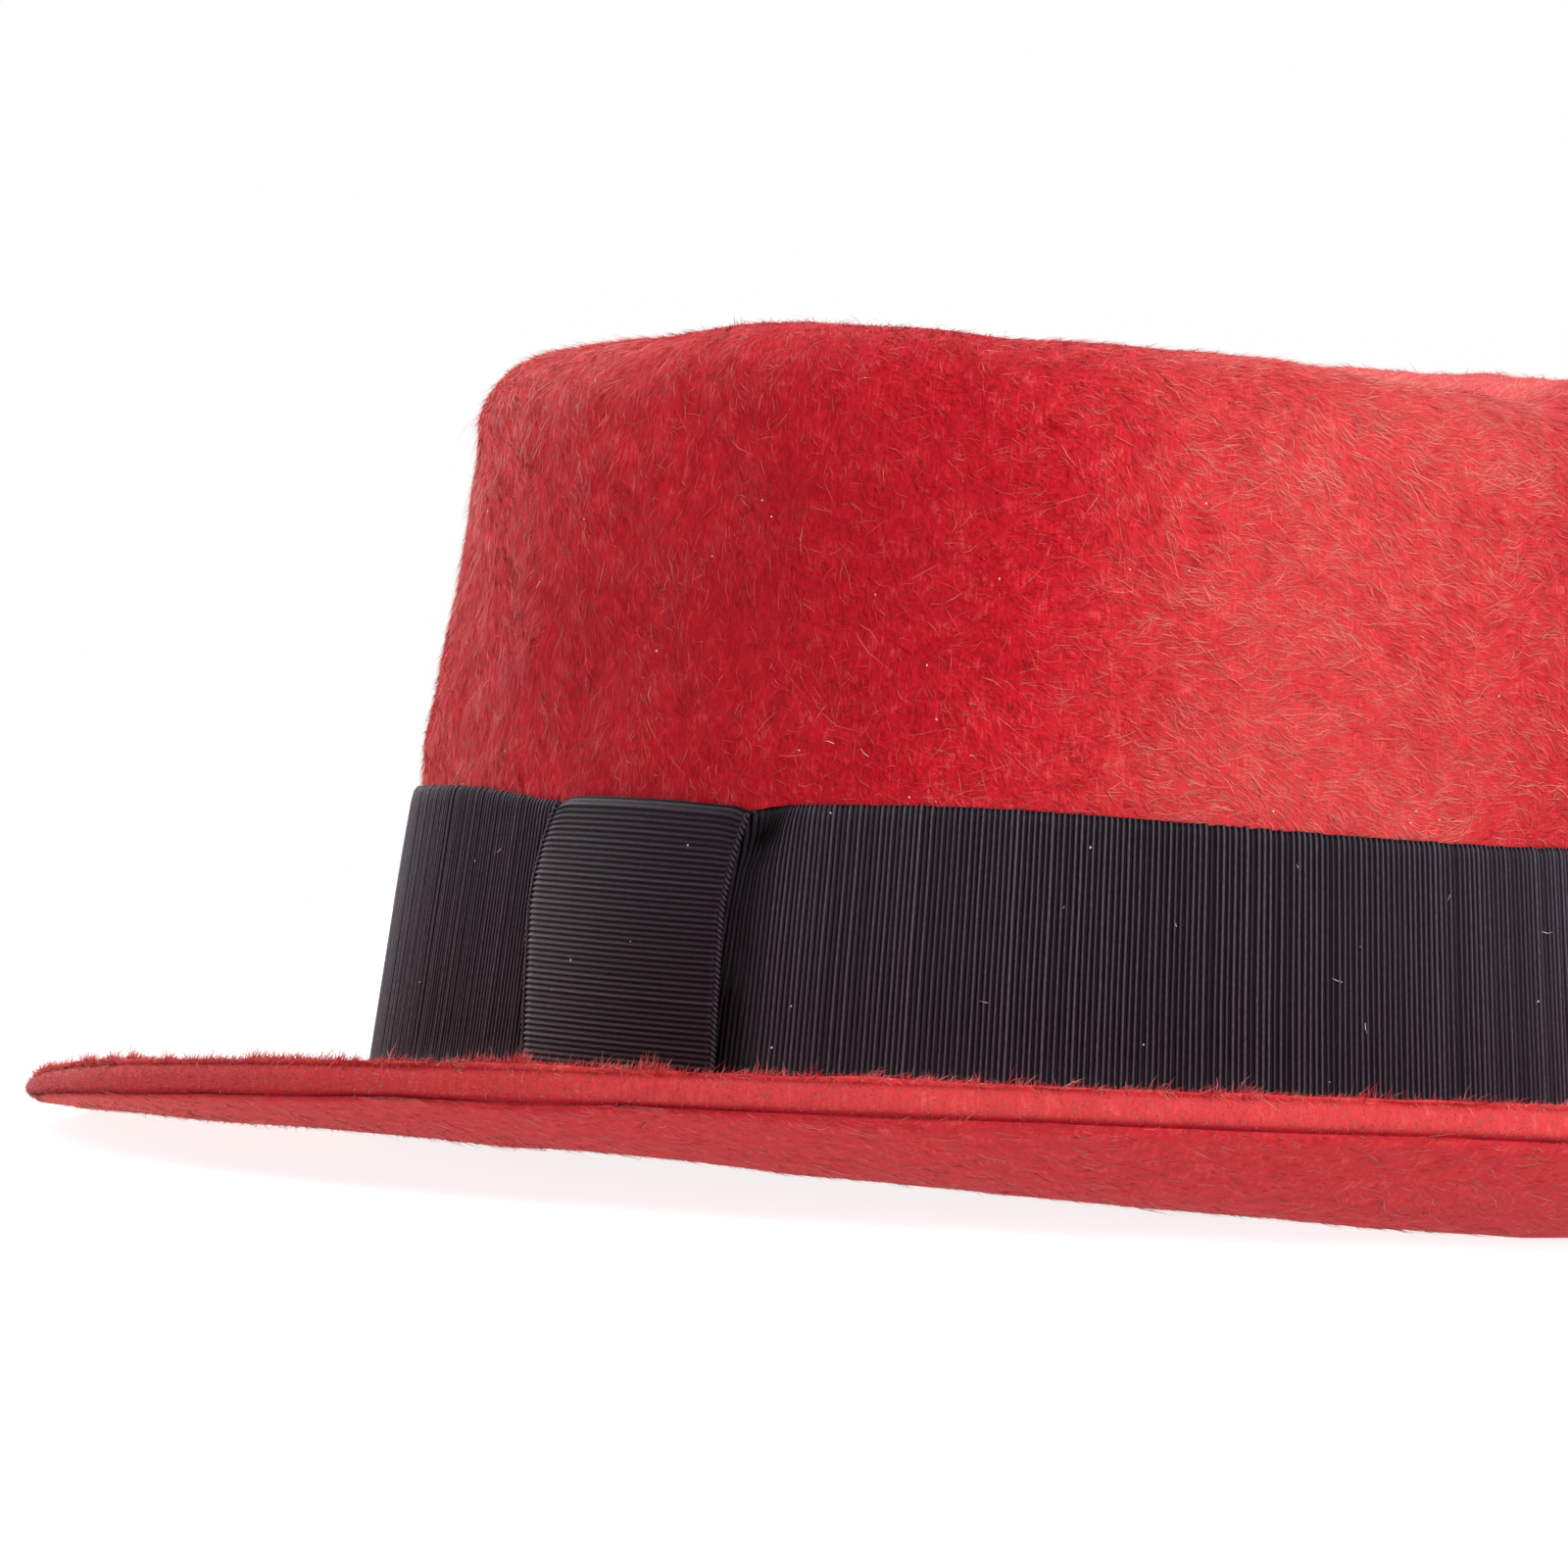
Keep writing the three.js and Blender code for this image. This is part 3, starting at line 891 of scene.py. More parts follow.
def under_nap(name, grid, nap):
    """The nap of the brim's underside, pressed flat, with painted light from the side that makes it paler at
    the wearer's left front.
    """
    rng = np.random.default_rng(25)
    kinds = []
    for joints, count, base in ((SHORT, nap.brim_short, 0.46), (LONG, nap.brim_long, 0.56)):
        places = grid.scatter(rng, count, ("brim_under",))
        turn = brushed(places, *UNDER_COMB, rng)
        # Painted light from the side raises the underside's tones.
        tone = tones(places, base + 0.44 * painted_light_under_brim(places["angle"]), rng, 0.30)
        kinds.append(coat(nap, places, turn, tone, rng, joints, lift=0.7, softness=0.5))
    return nap_mesh(name, kinds)


def edge_nap(name, grid, nap):
    """The cropped pile of the cut edge, felted flat, with painted shade in a darker line along each side."""
    rng = np.random.default_rng(26)

    def on_band(angle, points):
        return np.abs(across_edge(points, angle)) < 0.46

    pile = grid.scatter(rng, nap.edge_pile, ("edge",), on_band)
    turn = rng.uniform(0, 360, nap.edge_pile)
    across = across_edge(pile["point"], pile["angle"])
    # Painted shade along the creases at the edge's lower and upper corners.
    crease_shade = 0.60 * bell(across + 0.42, 0.11) + 0.2 * bell(across - 0.44, 0.06)
    pile_tone = 0.70 + 0.04 * ripple(pile["point"], 0.012, 54) - crease_shade + rng.normal(0, 0.28, nap.edge_pile)
    tone = np.clip(pile_tone, 0, PALEST)
    return nap_mesh(name, [coat(nap, pile, turn, tone, rng, SHORT, lift=2.6, length=0.30, softness=0.5)])


def rim_nap(name, grid, nap):
    """The fringe that stands up along the rim of the brim, in uneven tufts."""
    rng = np.random.default_rng(27)

    def on_rim(angle, points):
        x, y = points[..., 0] / (HALF_WIDTH + BRIM_WIDTH), points[..., 1] / (HALF_LENGTH + BRIM_WIDTH)
        return bell(np.hypot(x, y) - FRINGE_SHARE, FRINGE_SPREAD)

    kinds = []
    for joints, count, length, tone in ((SHORT, nap.rim_short, 0.60, 0.50), (LONG, nap.rim_long, 0.46, 0.58)):
        rim = grid.scatter(rng, count, ("brim_top",), on_rim)
        lift = np.clip(4.6 + 1.6 * ripple(rim["point"], 0.005, 44), 1.5, 8)
        length = np.clip(length + 0.18 * ripple(rim["point"], 0.0045, 45), 0.3, 1.1)
        turn = brushed(rim, *RIM_COMB, rng)
        tone = tones(rim, tone, rng)
        kinds.append(coat(nap, rim, turn, tone, rng, joints, lift=lift, length=length, softness=0.4))
    return nap_mesh(name, kinds)


# ---- The ribbon ----
def rib_angles(pitch):
    """Columns of a ribbed strip round the hat, evenly spaced along the wall: their angles, the place of
    each in its rib, the number of ribs and the strip's length."""
    fine = np.linspace(0, 360, 7201)
    ring = wall_point(fine, RIBBON_ZONE / 2, BAND_OUT)
    run = np.concatenate([[0], np.cumsum(np.linalg.norm(np.diff(ring, axis=0), axis=1))])
    ribs = round(run[-1] / pitch)
    place = np.arange(ribs * RIB_STEPS) / RIB_STEPS
    return np.interp(place / ribs * run[-1], run, fine), place, ribs, run[-1]


def rib_profile(place):
    """Height of the round ribs over their grooves, from 0 to 1."""
    return np.abs(np.sin(math.pi * place)) ** 1.1


def gather(angle, share):
    """The band beside the keeper, at a share of its height: how far its ribs lean to the back, in degrees,
    how deep it is pressed in, in metres, and how much painted shade it gets in its pocket and next to the
    keeper, from 0 to 1."""
    edge = keeper_sides(RIBBON_LIFT + (RIBBON_ZONE - RIBBON_LIFT) * share)[1]
    beside = angle - edge
    near = bell(np.maximum(beside, 0), 3.4) * bell(np.minimum(beside, 0), 2.0)
    lean = 1.5 * share ** 4 * near - 0.7 * (1 - share) ** 6 * near
    pocket = bell(beside - 0.9, 1.4) * bell(share - 0.905, 0.045)
    pinch = bell(beside - 0.4, 1.1) * bell(share - 0.05, 0.05)
    swell = bell(beside - 2.4, 1.5) * bell(share - 0.80, 0.13)
    press = 0.0010 * pocket + 0.0005 * pinch + 0.0005 * near - 0.0007 * swell
    # The last value is painted shade for the pocket, the pinch and the band next to the keeper.
    return lean, press, np.clip(1.2 * pocket + 0.6 * pinch + 0.45 * near, 0, 1)


def band_top_dip(angle):
    """How far the band's upper edge is drawn down where it goes under the keeper."""
    under = np.clip((angle - KEEPER_FROM) / 12 + 1, 0, 1) * np.clip((KEEPER_TO + 4 - angle) / 4, 0, 1)
    return 0.0008 * under


def band_mesh(ribbon):
    angles, place, ribs, length = rib_angles(ribbon.pitch)
    rng = np.random.default_rng(61)
    rib = np.minimum(place.astype(int), ribs - 1)
    bias, wander = rng.normal(0, 1, (2, ribs))[:, rib]
    shares = np.array([0, 0.015, 0.05, 0.12, 0.3, 0.5, 0.68, 0.8, 0.87, 0.92, 0.955, 0.985, 1.0])
    profile = rib_profile(place)
    top = ribbon_top(angles) - band_top_dip(angles) + 0.00012 * profile + 0.00006 * bias
    low = RIBBON_LIFT - 0.00015 * profile
    back = [wall_point(angles, height, 0.5 * GAP) for height in (RIBBON_LIFT, top - 0.0002)]
    rings, crest = [back[0]], [0 * profile]
    for share in shares:
        lean, press, pocket = gather(angles, share)
        turned = angles + lean + 0.12 * share * (1 - share) * np.sin(9 * share + wander)
        out = BAND_OUT - 0.00032 + ribbon.rib_depth * profile * (1 + 0.12 * bias)
        end = 1 - 0.5 * bell(share - 1, 0.012) - 0.5 * bell(share, 0.012)
        out = GAP + (out - GAP) * end - press
        rings.append(wall_point(turned, low + (top - low) * share, out))
        # The crest value also carries the painted shade of the pocket and of the band next to the keeper.
        crest.append(profile * (1 - 0.8 * pocket) * (1 + 0.07 * bias))
    rings.append(back[1])
    crest.append(0 * profile)
    rows, columns = len(rings), len(angles)
    column = np.arange(columns)
    beside, last = (column + 1) % columns, (rows - 1) * columns
    close = np.stack([last + column, column, beside, last + beside], 1)
    quads = grid_quads(rows, columns, True)
    mesh = mesh_from("grosgrain_band", np.array(rings).reshape(-1, 3), [quads[:, ::-1], close[:, ::-1]])
    add_values(mesh, crest=np.clip(crest, 0, 1))
    corners = corner_indices(mesh)
    row, column = corners // columns, corners % columns
    across = (place[column] / ribs).reshape(-1, 4)
    across = np.where(across.max(1, keepdims=True) - across > 0.5, across + 1, across).ravel()
    up = np.concatenate([[-0.03], shares, [1.03]])[row]
    add_map(mesh, "rib_map", np.stack([up * RIBBON_ZONE, across * length], 1))
    bake = np.concatenate([[0.0], 0.05 + 0.9 * shares, [1.0]])[row]
    add_map(mesh, "OFBake", np.stack([across * columns / (columns + 1), bake], 1))
    return mesh, length


def keeper_sides(height):
    """Angles of the keeper's two edges at a height: it is drawn in a little at its middle."""
    low = np.maximum(KEEPER_WAIST - height, 0) / KEEPER_WAIST
    high = np.clip((height - KEEPER_WAIST) / (RIBBON_ZONE - KEEPER_WAIST), 0, 1)
    return KEEPER_FROM + 2.4 * low + 2.1 * high ** 2, KEEPER_TO + 0.9 * low + 1.75 * high ** 2


def keeper_mesh(ribbon):
    """A short length of the same ribbon set upright, so that its ribs lie level, folded over the band's
    upper edge."""
    top = RIBBON_ZONE + KEEPER_FOLD
    ribs = round((top - RIBBON_LIFT) / ribbon.pitch)
    place = np.arange(ribs * RIB_STEPS + 1) / RIB_STEPS
    up = (place / ribs)[:, None]
    across = np.linspace(0, 1, KEEPER_COLUMNS)[None, :]
    rng = np.random.default_rng(62)
    bias = rng.normal(0, 1, ribs + 1)[place.astype(int)][:, None]
    height = RIBBON_LIFT + (top - RIBBON_LIFT) * up + 0 * across
    first, last = keeper_sides(height)
    angle = first + (last - first) * across
    bow = 0.0008 * np.sin(math.pi * across) * up ** 3 - 0.0005 * (across - 0.5)
    dropped = 0.0010 * bell(across, 0.05) + 0.0008 * bell(across - 1, 0.05)
    height = height + station(RIBBON_EDGE, angle) * up + bow - dropped * up ** 10
    profile = rib_profile(place)[:, None]
    bulge = 0.0006 * np.sin(math.pi * across) * np.sin(math.pi * up)
    fold = 0.0016 * np.clip((up - 0.972) / 0.028, 0, 1) ** 2
    sides = 0.0004 * (bell(across, 0.02) + bell(across - 1, 0.02))
    ribs_out = 0.65 * ribbon.rib_depth * profile * (1 + 0.1 * bias)
    out = KEEPER_OUT - 0.0002 + ribs_out + bulge - fold - sides
    front = wall_point(angle, height, out)
    back = wall_point(angle, height, BAND_OUT + 0.00045 + 0 * out)
    rows, columns = len(place), KEEPER_COLUMNS
    points = np.concatenate([front.reshape(-1, 3), back.reshape(-1, 3)])
    quads = grid_quads(rows, columns, False)
    behind = quads[:, ::-1] + rows * columns
    rim = border_quads(rows, columns)
    mesh = mesh_from("grosgrain_keeper", points, [quads[:, ::-1], behind[:, ::-1], rim])
    # The crest value sets the painted shade of the keeper's grooves, lighter than on the band.
    crest = (0.44 + 0.38 * profile * (1 + 0.07 * bias) + 0 * across).ravel()
    add_values(mesh, crest=np.concatenate([np.clip(crest, 0, 1), 0 * crest]))
    corners = corner_indices(mesh)
    row, column = corners % (rows * columns) // columns, corners % columns
    across, up = across[0, column], up[row, 0]
    add_map(mesh, "rib_map", np.stack([across * KEEPER_WIDTH, up * RIBBON_ZONE], 1))
    bake = np.stack([0.005 + 0.49 * across + 0.5 * (corners >= rows * columns), 0.005 + 0.99 * up], 1)
    add_map(mesh, "OFBake", bake)
    return mesh


def border_quads(rows, columns):
    """Faces that join the border of a front grid to that of the back grid stored after it."""
    loop = np.concatenate([
        np.arange(columns),
        np.arange(1, rows) * columns + columns - 1,
        (rows - 1) * columns + np.arange(columns - 2, -1, -1),
        np.arange(rows - 2, 0, -1) * columns,
    ])
    after = np.roll(loop, -1)
    behind = rows * columns
    return np.stack([loop, loop + behind, after + behind, after], 1)


def selvage_mesh(ribbon, side):
    """The twisted cord woven along one edge of the keeper: a tube of two plies, one ply to each rib."""
    share = np.linspace(0, 1, SELVAGE_STEPS)
    level = RIBBON_LIFT + (RIBBON_ZONE + KEEPER_FOLD - 0.0008 - RIBBON_LIFT) * share
    angle = keeper_sides(level)[side]
    height = level + station(RIBBON_EDGE, angle) * share - (side - 0.5) * 0.0005
    spine = wall_point(angle, height, KEEPER_OUT - SELVAGE_RADII[1])
    along = unit(np.gradient(spine, axis=0))
    outward = unit(spine * [1, 1, 0])
    sideways = unit(np.cross(along, outward))
    turn = np.arange(SELVAGE_SIDES) * 2 * math.pi / SELVAGE_SIDES
    twist = math.pi * RIBBON_ZONE / ribbon.pitch
    ply = np.cos(turn[None, :] + share[:, None] * twist) ** 2
    swell = SELVAGE_RADII[side] * (0.70 + 0.45 * ply)
    cos, sin = np.cos(turn)[None, :, None], np.sin(turn)[None, :, None]
    ring = cos * outward[:, None, :] + sin * sideways[:, None, :]
    points = spine[:, None, :] + swell[..., None] * ring
    quads = grid_quads(SELVAGE_STEPS, SELVAGE_SIDES, True)
    first = np.arange(SELVAGE_SIDES)[None, :]
    ends = [first[:, ::-1], (SELVAGE_STEPS - 1) * SELVAGE_SIDES + first]
    name = ("keeper_selvage_front", "keeper_selvage_back")[side]
    mesh = mesh_from(name, points.reshape(-1, 3), [quads[:, ::-1], *ends])
    # The crest value sets the painted shade between the cord's plies.
    add_values(mesh, crest=0.35 + 0.65 * ply)
    corners = corner_indices(mesh)
    row, column = corners // SELVAGE_SIDES, corners % SELVAGE_SIDES
    add_map(mesh, "rib_map", np.stack([column * 0.0003, share[row] * RIBBON_ZONE], 1))
    return mesh


def lint_mesh(count):
    """Specks and loose fibres caught on the ribbon and the nap of the crown."""
    rng = np.random.default_rng(63)
    angle, height = rng.uniform(0, 360, count), rng.uniform(*LINT_HEIGHTS, count)
    on_keeper = (angle > KEEPER_FROM + 1.5) & (angle < KEEPER_TO - 1)
    on_ribbon = np.where(on_keeper, KEEPER_OUT + 0.0006, BAND_OUT + 0.0001)
    out = np.where(height < ribbon_top(angle), on_ribbon, 0.0008)
    spot = wall_point(angle, height, out)
    round_hat = unit(wall_point(angle + 0.1, height, out) - spot)
    down = unit(wall_point(angle, height - 0.0001, out) - spot)
    normal = unit(np.cross(down, round_hat))
    places = {"point": spot, "normal": normal, "round": round_hat, "down": down}
    fibre = rng.random(count) < FIBRE_SHARE
    length = np.where(fibre, rng.uniform(0.0008, 0.0024, count), rng.uniform(0.00022, 0.0004, count))
    width = np.where(fibre, 0.00008, rng.uniform(0.0002, 0.0003, count))
    spine = spines(places, rng.uniform(0, 360, count), np.full(count, 6.0), length, 3, rng)
    return nap_mesh("lint", [hairs(places, spine, width, np.zeros(count), rng)])


# ---- Settings ----
def length_setting(name, description, default):
    """A setting for a length in metres."""
    return FloatProperty(name=name, description=description, default=default, unit="LENGTH", precision=5)


def count_setting(name, description, default, lowest=0):
    """A setting for a count."""
    return IntProperty(name=name, description=description, default=default, min=lowest)


def share_setting(name, description, default):
    """A setting for a share from 0 to 1."""
    return FloatProperty(name=name, description=description, default=default, min=0, max=1, subtype="FACTOR")


def power_setting(name, description, default):
    """A setting for a lamp's power."""
    return FloatProperty(name=name, description=description, default=default, unit="POWER")


def colour_setting(name, description, default):
    """A setting for a colour."""
    return FloatVectorProperty(name=name, description=description, default=default, subtype="COLOR", size=3)


class HatFeltSettings(PropertyGroup):
    columns: count_setting("Columns", "Columns of the felt's grid round the hat", 360, 72)
    waviness: length_setting("Waviness", "How far the felt's faces wander from a true form", 0.00028)
    colour: colour_setting("Colour", "Colour of the dyed felt", (0.60, 0.008, 0.022))
    # The colour of the felt's paler streaks, and the colour towards which painted light turns it.
    streak_and_light_colour: colour_setting(
        "Streak Colour", "Colour of the paler streaks in the felt", (0.70, 0.12, 0.105),
    )


class HatNapSettings(PropertyGroup):
    length: length_setting("Length", "Usual length of a long bent hair", 0.0030)
    short_length: length_setting("Short Length", "Usual length of a short straight hair", 0.0017)
    width: length_setting("Width", "Usual width of a hair at its root", 0.00012)
    lift: FloatProperty(name="Lift", description="How many degrees a hair rises from the felt", default=10.0)
    loose: share_setting("Loose", "Share of the long hairs that stand free and pale", 0.003)
    crown_short: count_setting("Crown Short", "Short hairs on the crown's left half", 130000)
    crown_long: count_setting("Crown Long", "Long hairs on the crown's left half", 22000)
    top_short: count_setting("Top Short", "Short hairs on the crown's top", 36000)
    top_long: count_setting("Top Long", "Long hairs on the crown's top", 7000)
    brim_short: count_setting("Brim Short", "Short hairs on each face of the brim", 57000)
    brim_long: count_setting("Brim Long", "Long hairs on each face of the brim", 10000)
    edge_pile: count_setting("Edge Pile", "Hairs on the cut edge", 48000)
    rim_short: count_setting("Rim Short", "Short hairs that stand up along the rim", 30000)
    rim_long: count_setting("Rim Long", "Long hairs that stand up along the rim", 13000)
    light_colour: colour_setting("Light Colour", "Colour of the paler hairs", (0.74, 0.165, 0.138))
    pale_colour: colour_setting("Pale Colour", "Colour of the few palest hairs", (0.86, 0.35, 0.28))


class HatRibbonSettings(PropertyGroup):
    pitch: length_setting("Rib Pitch", "Distance from one rib to the next", 0.00084)
    rib_depth: length_setting("Rib Depth", "Depth of the grooves between ribs", 0.00044)
    colour: colour_setting("Colour", "Colour of the ribs", (0.034, 0.027, 0.039))
    # Painted glints: the colour that single threads on the ridges take.
    thread_colour: colour_setting(
        "Thread Colour", "Colour of single threads that catch the light", (0.155, 0.132, 0.172),
    )
    warm_colour: colour_setting(
        "Warm Colour", "Brown to which the ribbon drifts in broad patches", (0.034, 0.022, 0.028),
    )
    lint: count_setting("Lint", "Specks and loose fibres caught on the hat", 150)


class HatStageSettings(PropertyGroup):
    key: power_setting("Key", "Power of the large soft lamp", 15.2)
    side: power_setting("Side", "Power of the lamp on the hat's far left", 11.0)
    rim: power_setting("Rim", "Power of the lamp above and behind the hat", 7.0)
    glow: share_setting("Floor Glow", "Light given off by the lit table under the hat", 0.86)
    near: share_setting("Near Sky", "Brightness of the room on the camera's side", 0.05)
    far: share_setting("Far Sky", "Brightness of the room behind the hat", 0.95)
    distance: FloatProperty(
        name="Distance", description="Camera distance from the hat", default=1.3, unit="LENGTH",
    )
    lens: FloatProperty(name="Lens", description="Focal length in millimetres", default=202.4, unit="CAMERA")


# ---- Operators ----
# How pale the felt is under its nap, on each stretch of its section; the top's greater paleness is a painted
# highlight from above.
PALENESS = {"top": 0.4, "corner": 0.06, "wall": 0.02, "brim_top": 0.28, "edge": 0.36, "brim_under": 0.20}


class HAT_OT_felt_shell(Operator):
    """Builds the felt shell, crown and brim in one piece"""

    bl_idname = "hat.felt_shell"
    bl_label = "Felt Shell"

    def execute(self, context):
        felt = context.scene.hat_felt
        grid = felt_grid(felt)
        rows, columns = grid.points.shape[:2]
        outside_middle = top_point(0.0, 0.0)
        inside_middle = top_point(0.0, 0.0, FELT)
        points = np.concatenate([grid.points.reshape(-1, 3), [outside_middle, inside_middle]])
        quads = grid_quads(rows, columns, True)
        column = np.arange(columns)
        beside = (column + 1) % columns
        last = (rows - 1) * columns
        outer_cap = np.stack([np.full(columns, rows * columns), column, beside], 1)
        inner_cap = np.stack([np.full(columns, rows * columns + 1), last + beside, last + column], 1)
        mesh = mesh_from("felt_shell", points, [quads, outer_cap, inner_cap])
        on_edge = (grid.stretch == "edge")[:, None]
        on_under = (grid.stretch == "brim_under")[:, None]
        # Painted light from the side on the underside of the brim.
        painted_light_under = painted_light_under_brim(grid.angles)
        across = across_edge(grid.points, grid.angles)
        # Painted shade in the creases along the cut edge's lower and upper corners.
        crease = on_edge * (bell(across + 0.43, 0.12) + 0.4 * bell(across - 0.46, 0.06))
        # Painted shade on the cut edge, most towards the wearer's left front, and on the underside away from
        # its painted light.
        dull = on_edge * (0.14 + 0.40 * bell(grid.angles - 60, 45)) + on_under * 0.28 * (1 - painted_light_under)
        base = np.array([PALENESS.get(stretch, 0.0) for stretch in grid.stretch])[:, None]
        on_wall = np.isin(grid.stretch, ["corner", "wall"])[:, None]
        # The crown's painted light and shade: its negative part adds painted shade, and half of it adds to
        # the paleness.
        painted_patches = painted_light_and_shade_on_nap(grid.points.reshape(-1, 3), np.tile(grid.angles, rows)).reshape(rows, columns)
        dull = dull + on_wall * np.clip(-2.0 * painted_patches, 0, 0.7)
        crease = np.clip(crease + dull, 0, 1)
        pale = np.clip(base + on_wall * 0.5 * painted_patches + on_under * 0.5 * painted_light_under, 0, 1)
        add_values(mesh, crease=np.append(crease, [0, 0]), pale=np.append(pale, [PALENESS["top"], 0]))
        self.add_maps(mesh, grid)
        add_piece("felt_shell", mesh, felt_material(felt), "felt", "felt_body")
        return {"FINISHED"}

    def add_maps(self, mesh, grid):
        """Maps by length round the hat and length down its section, which keep their faces apart."""
        rows, columns = grid.points.shape[:2]
        steps = np.linalg.norm(np.diff(grid.points, axis=0), axis=-1).mean(1)
        run = np.concatenate([[0], np.cumsum(steps)]) + 0.001
        corners = corner_indices(mesh)
        pole = corners >= rows * columns
        row = np.where(pole, 0, corners // columns)
        column = corners % columns
        sizes = np.concatenate([np.full((rows - 1) * columns, 4), np.full(2 * columns, 3)])
        face = np.repeat(np.arange(len(sizes)), sizes)
        starts = np.concatenate([[0], np.cumsum(sizes)[:-1]])
        widest = np.maximum.reduceat(column, starts)[face]
        wrapped = np.where(widest - column > columns / 2, column + columns, column)
        down = np.where(pole, np.where(corners == rows * columns, 0, run[-1] + 0.001), run[row])
        round_length = 2 * math.pi * math.sqrt(HALF_WIDTH * HALF_LENGTH)
        add_map(mesh, "felt_map", np.stack([wrapped / columns * round_length, down], 1))
        add_map(mesh, "OFBake", np.stack([wrapped / (columns + 1), down / (run[-1] + 0.001)], 1))


UNDER_SHADE_RED, EDGE_SHADE_RED = 0.70, 0.52  # how much of their red the hairs of the underside and the edge keep: dimmer copies of the nap's material, as painted shade


class HAT_OT_nap(Operator):
    """Lays the nap on the felt: crown, brim, underside and cut edge"""

    bl_idname = "hat.nap"
    bl_label = "Nap"

    def execute(self, context):
        felt, nap = context.scene.hat_felt, context.scene.hat_nap
        grid = felt_grid(felt)
        body = nap_material("nap", felt, nap)
        # Dimmer copies of the nap's material for the underside and the cut edge, as painted shade.
        under = nap_material("nap_of_underside_shaded", felt, nap, UNDER_SHADE_RED)
        edge = nap_material("nap_of_edge_shaded", felt, nap, EDGE_SHADE_RED)
        meshes = [
            (crown_nap("nap_crown_left", grid, nap, True), body),
            (crown_nap("nap_crown_right", grid, nap, False), body),
            (top_nap("nap_crown_top", grid, nap), body),
            (brim_nap("nap_brim_top", grid, nap), body),
            (under_nap("nap_brim_under", grid, nap), under),
            (edge_nap("nap_cut_edge", grid, nap), edge),
            (rim_nap("nap_rim", grid, nap), body),
        ]
        for mesh, material in meshes:
            add_piece(mesh.name, mesh, material, "felt")
        return {"FINISHED"}


class HAT_OT_ribbon(Operator):
    """Builds the grosgrain band and its keeper"""

    bl_idname = "hat.ribbon"
    bl_label = "Ribbon"

    def execute(self, context):
        ribbon = context.scene.hat_ribbon
        material = grosgrain_material(ribbon)
        mesh, length = band_mesh(ribbon)
        band = add_piece("grosgrain_band", mesh, material, "ribbon", "ribbon_band")
        keeper = add_piece("grosgrain_keeper", keeper_mesh(ribbon), material, "ribbon", "ribbon_keeper")
        for side in (0, 1):
            mesh = selvage_mesh(ribbon, side)
            add_piece(mesh.name, mesh, material, "ribbon")
        add_piece("lint", lint_mesh(ribbon.lint), lint_material(), "ribbon")
        return {"FINISHED"}


VIEW_AZIMUTH, VIEW_ELEVATION, VIEW_ROLL = 129.84, 3.38, 2.41  # degrees
AIM_RIGHT, AIM_UP = -0.0364, 0.0527  # where the camera aims, from the middle of the crown's foot
SENSOR_WIDTH = 36  # millimetres
LAMP_DISTANCE = 1.2
LAMP_AIM = 0.05  # height at which the lamps aim
BRIGHT_SIDE = (-0.52, -0.76, 0.38)  # direction of the room's bright side
FLOOR_GREY = (0.22, 0.22, 0.22, 1)


def direction(azimuth, elevation):
    """The direction from the hat to an azimuth and an elevation in degrees."""
    azimuth, elevation = math.radians(azimuth), math.radians(elevation)
    level = math.cos(elevation)
    return Vector((math.sin(azimuth) * level, -math.cos(azimuth) * level, math.sin(elevation)))


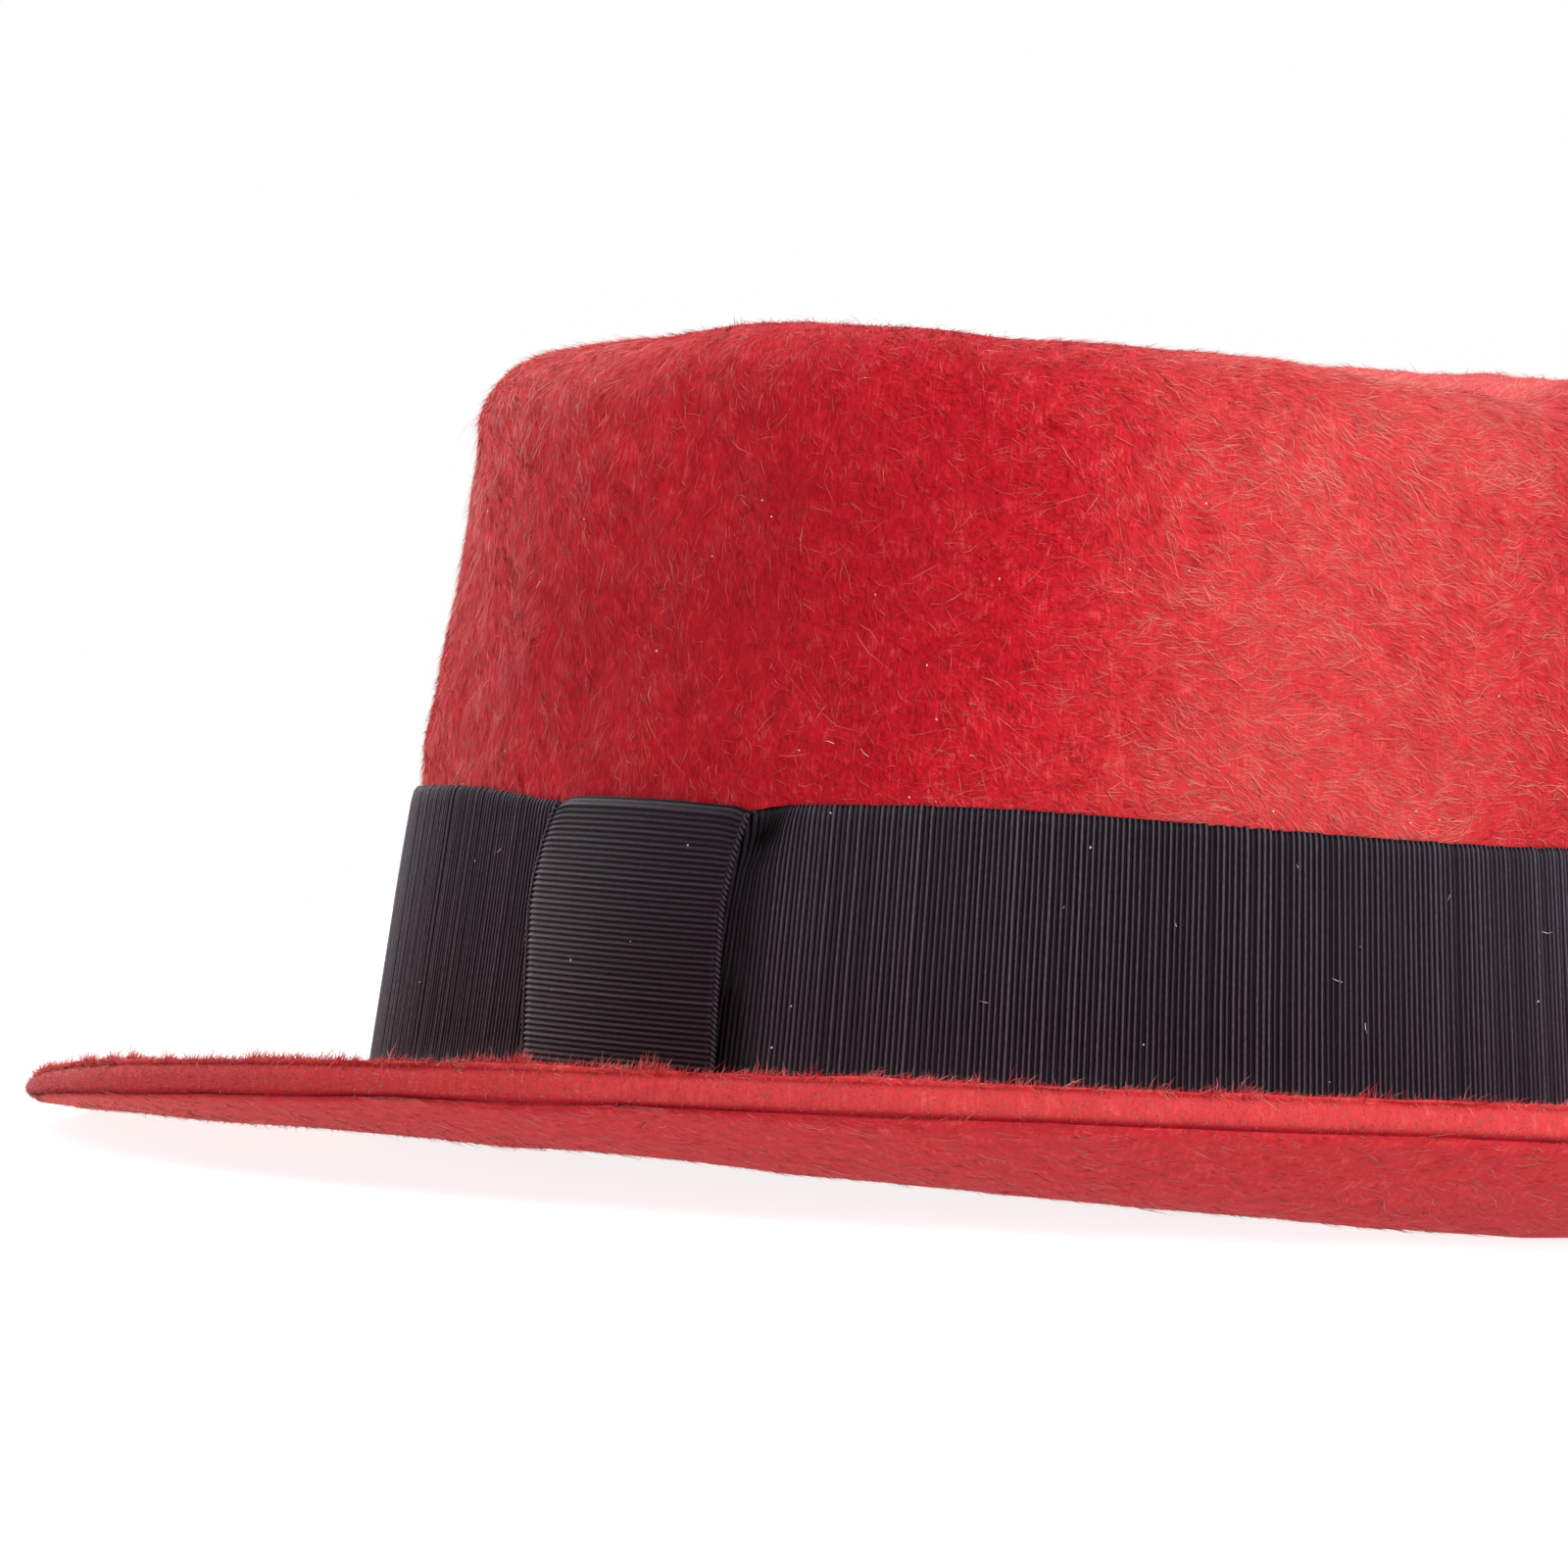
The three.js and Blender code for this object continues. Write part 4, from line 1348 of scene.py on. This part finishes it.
class HAT_OT_stage(Operator):
    """Sets the floor, the room's light, the lamps and the camera"""

    bl_idname = "hat.stage"
    bl_label = "Stage"

    def execute(self, context):
        stage = context.scene.hat_stage
        self.set_camera(context, stage)
        self.set_room(context, stage)
        self.add_floor(context, stage)
        self.add_lamp(context, "key_lamp", 155, 30, (0.6, 0.8), stage.key)
        self.add_lamp(context, "side_lamp", 0, 24, (0.8, 0.8), stage.side)
        self.add_lamp(context, "rim_lamp", 318, 55, (1.2, 0.7), stage.rim)
        context.scene.view_settings.view_transform = "Standard"
        return {"FINISHED"}

    def set_camera(self, context, stage):
        """The camera stands level with the brim, behind the wearer's left shoulder."""
        back = direction(VIEW_AZIMUTH, VIEW_ELEVATION)
        right = direction(VIEW_AZIMUTH + 90, 0)
        roll = math.radians(VIEW_ROLL)
        foot = Vector((0, 0, FELT))
        eye = foot + stage.distance * back
        aim = foot + AIM_RIGHT * right + AIM_UP * back.cross(right)
        forward = (aim - eye).normalized()
        level = forward.cross(Vector((0, 0, 1))).normalized()
        upright = level.cross(forward)
        side = level * math.cos(roll) + upright * math.sin(roll)
        above = -level * math.sin(roll) + upright * math.cos(roll)
        camera = bpy.data.objects.new("camera", bpy.data.cameras.new("camera"))
        camera.matrix_world = Matrix.Translation(eye) @ Matrix((side, above, -forward)).transposed().to_4x4()
        camera.data.lens = stage.lens
        camera.data.sensor_width = SENSOR_WIDTH
        camera.data.clip_start, camera.data.clip_end = 0.05, 20
        context.scene.collection.objects.link(camera)
        context.scene.camera = camera

    def set_room(self, context, stage):
        """A white room: brighter behind the hat than on the camera's side, and plain white to look at."""
        world = bpy.data.worlds.new("room")
        context.scene.world = world
        nodes = Nodes(world)
        facing = nodes.add("VectorMath", Vector=nodes.add("TexCoord").outputs["Generated"])
        facing.operation = "DOT_PRODUCT"
        nodes.feed(facing, 1, BRIGHT_SIDE)
        strength = nodes.range(facing.outputs["Value"], -0.25, 0.55, stage.near, stage.far)
        light = nodes.add("Background", Color=WHITE, Strength=strength)
        seen = nodes.add("Background", Color=WHITE)
        room = nodes.blend(nodes.add("LightPath").outputs["Is Camera Ray"], light, seen)
        nodes.add("OutputWorld", Surface=room.outputs[0])

    def add_floor(self, context, stage):
        """A white table lit from below, on which the hat keeps a faint shadow."""
        half = 5 * FELT_HIGH.y
        corners = np.array([(-half, -half, 0), (half, -half, 0), (half, half, 0), (-half, half, 0)])
        mesh = mesh_from("floor", corners, [np.array([[0, 1, 2, 3]])])
        nodes = material_nodes("floor")
        glow = nodes.range(nodes.distance(nodes.place()), 0.20, 0.48, stage.glow, 1.02)
        surface = dict(Roughness=0.9, Specular_IOR_Level=0.1, Emission_Color=WHITE, Emission_Strength=glow)
        mesh.materials.append(nodes.finish(FLOOR_GREY, **surface))
        floor = bpy.data.objects.new("floor", mesh)
        context.scene.collection.objects.link(floor)

    def add_lamp(self, context, name, azimuth, elevation, size, power):
        """A soft rectangular lamp that faces the hat from an azimuth and an elevation."""
        back = direction(azimuth, elevation)
        data = bpy.data.lights.new(name, "AREA")
        data.shape = "RECTANGLE"
        data.size, data.size_y = size
        data.energy = power
        lamp = bpy.data.objects.new(name, data)
        lamp.location = Vector((0, 0, LAMP_AIM)) + LAMP_DISTANCE * back
        lamp.rotation_mode = "QUATERNION"
        lamp.rotation_quaternion = back.to_track_quat("Z", "Y")
        lamp.visible_camera = False
        context.scene.collection.objects.link(lamp)


class HAT_PT_panel(Panel):
    """The hat's pieces and their settings"""

    bl_idname = "HAT_PT_panel"
    bl_label = "Napped Fedora"
    bl_space_type = "VIEW_3D"
    bl_region_type = "UI"
    bl_category = "Hat"

    def draw(self, context):
        for settings, _, operator in PARTS:
            box = self.layout.box()
            box.operator(operator.bl_idname)
            group = getattr(context.scene, settings)
            for name in group.bl_rna.properties.keys():
                if name not in ("rna_type", "name"):
                    box.prop(group, name)


PARTS = [
    ("hat_felt", HatFeltSettings, HAT_OT_felt_shell),
    ("hat_nap", HatNapSettings, HAT_OT_nap),
    ("hat_ribbon", HatRibbonSettings, HAT_OT_ribbon),
    ("hat_stage", HatStageSettings, HAT_OT_stage),
]
CLASSES = [cls for part in PARTS for cls in part[1:]] + [HAT_PT_panel]


def register():
    for cls in CLASSES:
        bpy.utils.register_class(cls)
    for name, group, _ in PARTS:
        setattr(bpy.types.Scene, name, PointerProperty(type=group))


def unregister():
    for name, _, _ in PARTS:
        delattr(bpy.types.Scene, name)
    for cls in reversed(CLASSES):
        bpy.utils.unregister_class(cls)


def main():
    register()
    bpy.ops.hat.stage()
    bpy.ops.hat.felt_shell()
    bpy.ops.hat.nap()
    bpy.ops.hat.ribbon()


if __name__ == "__main__":
    main()
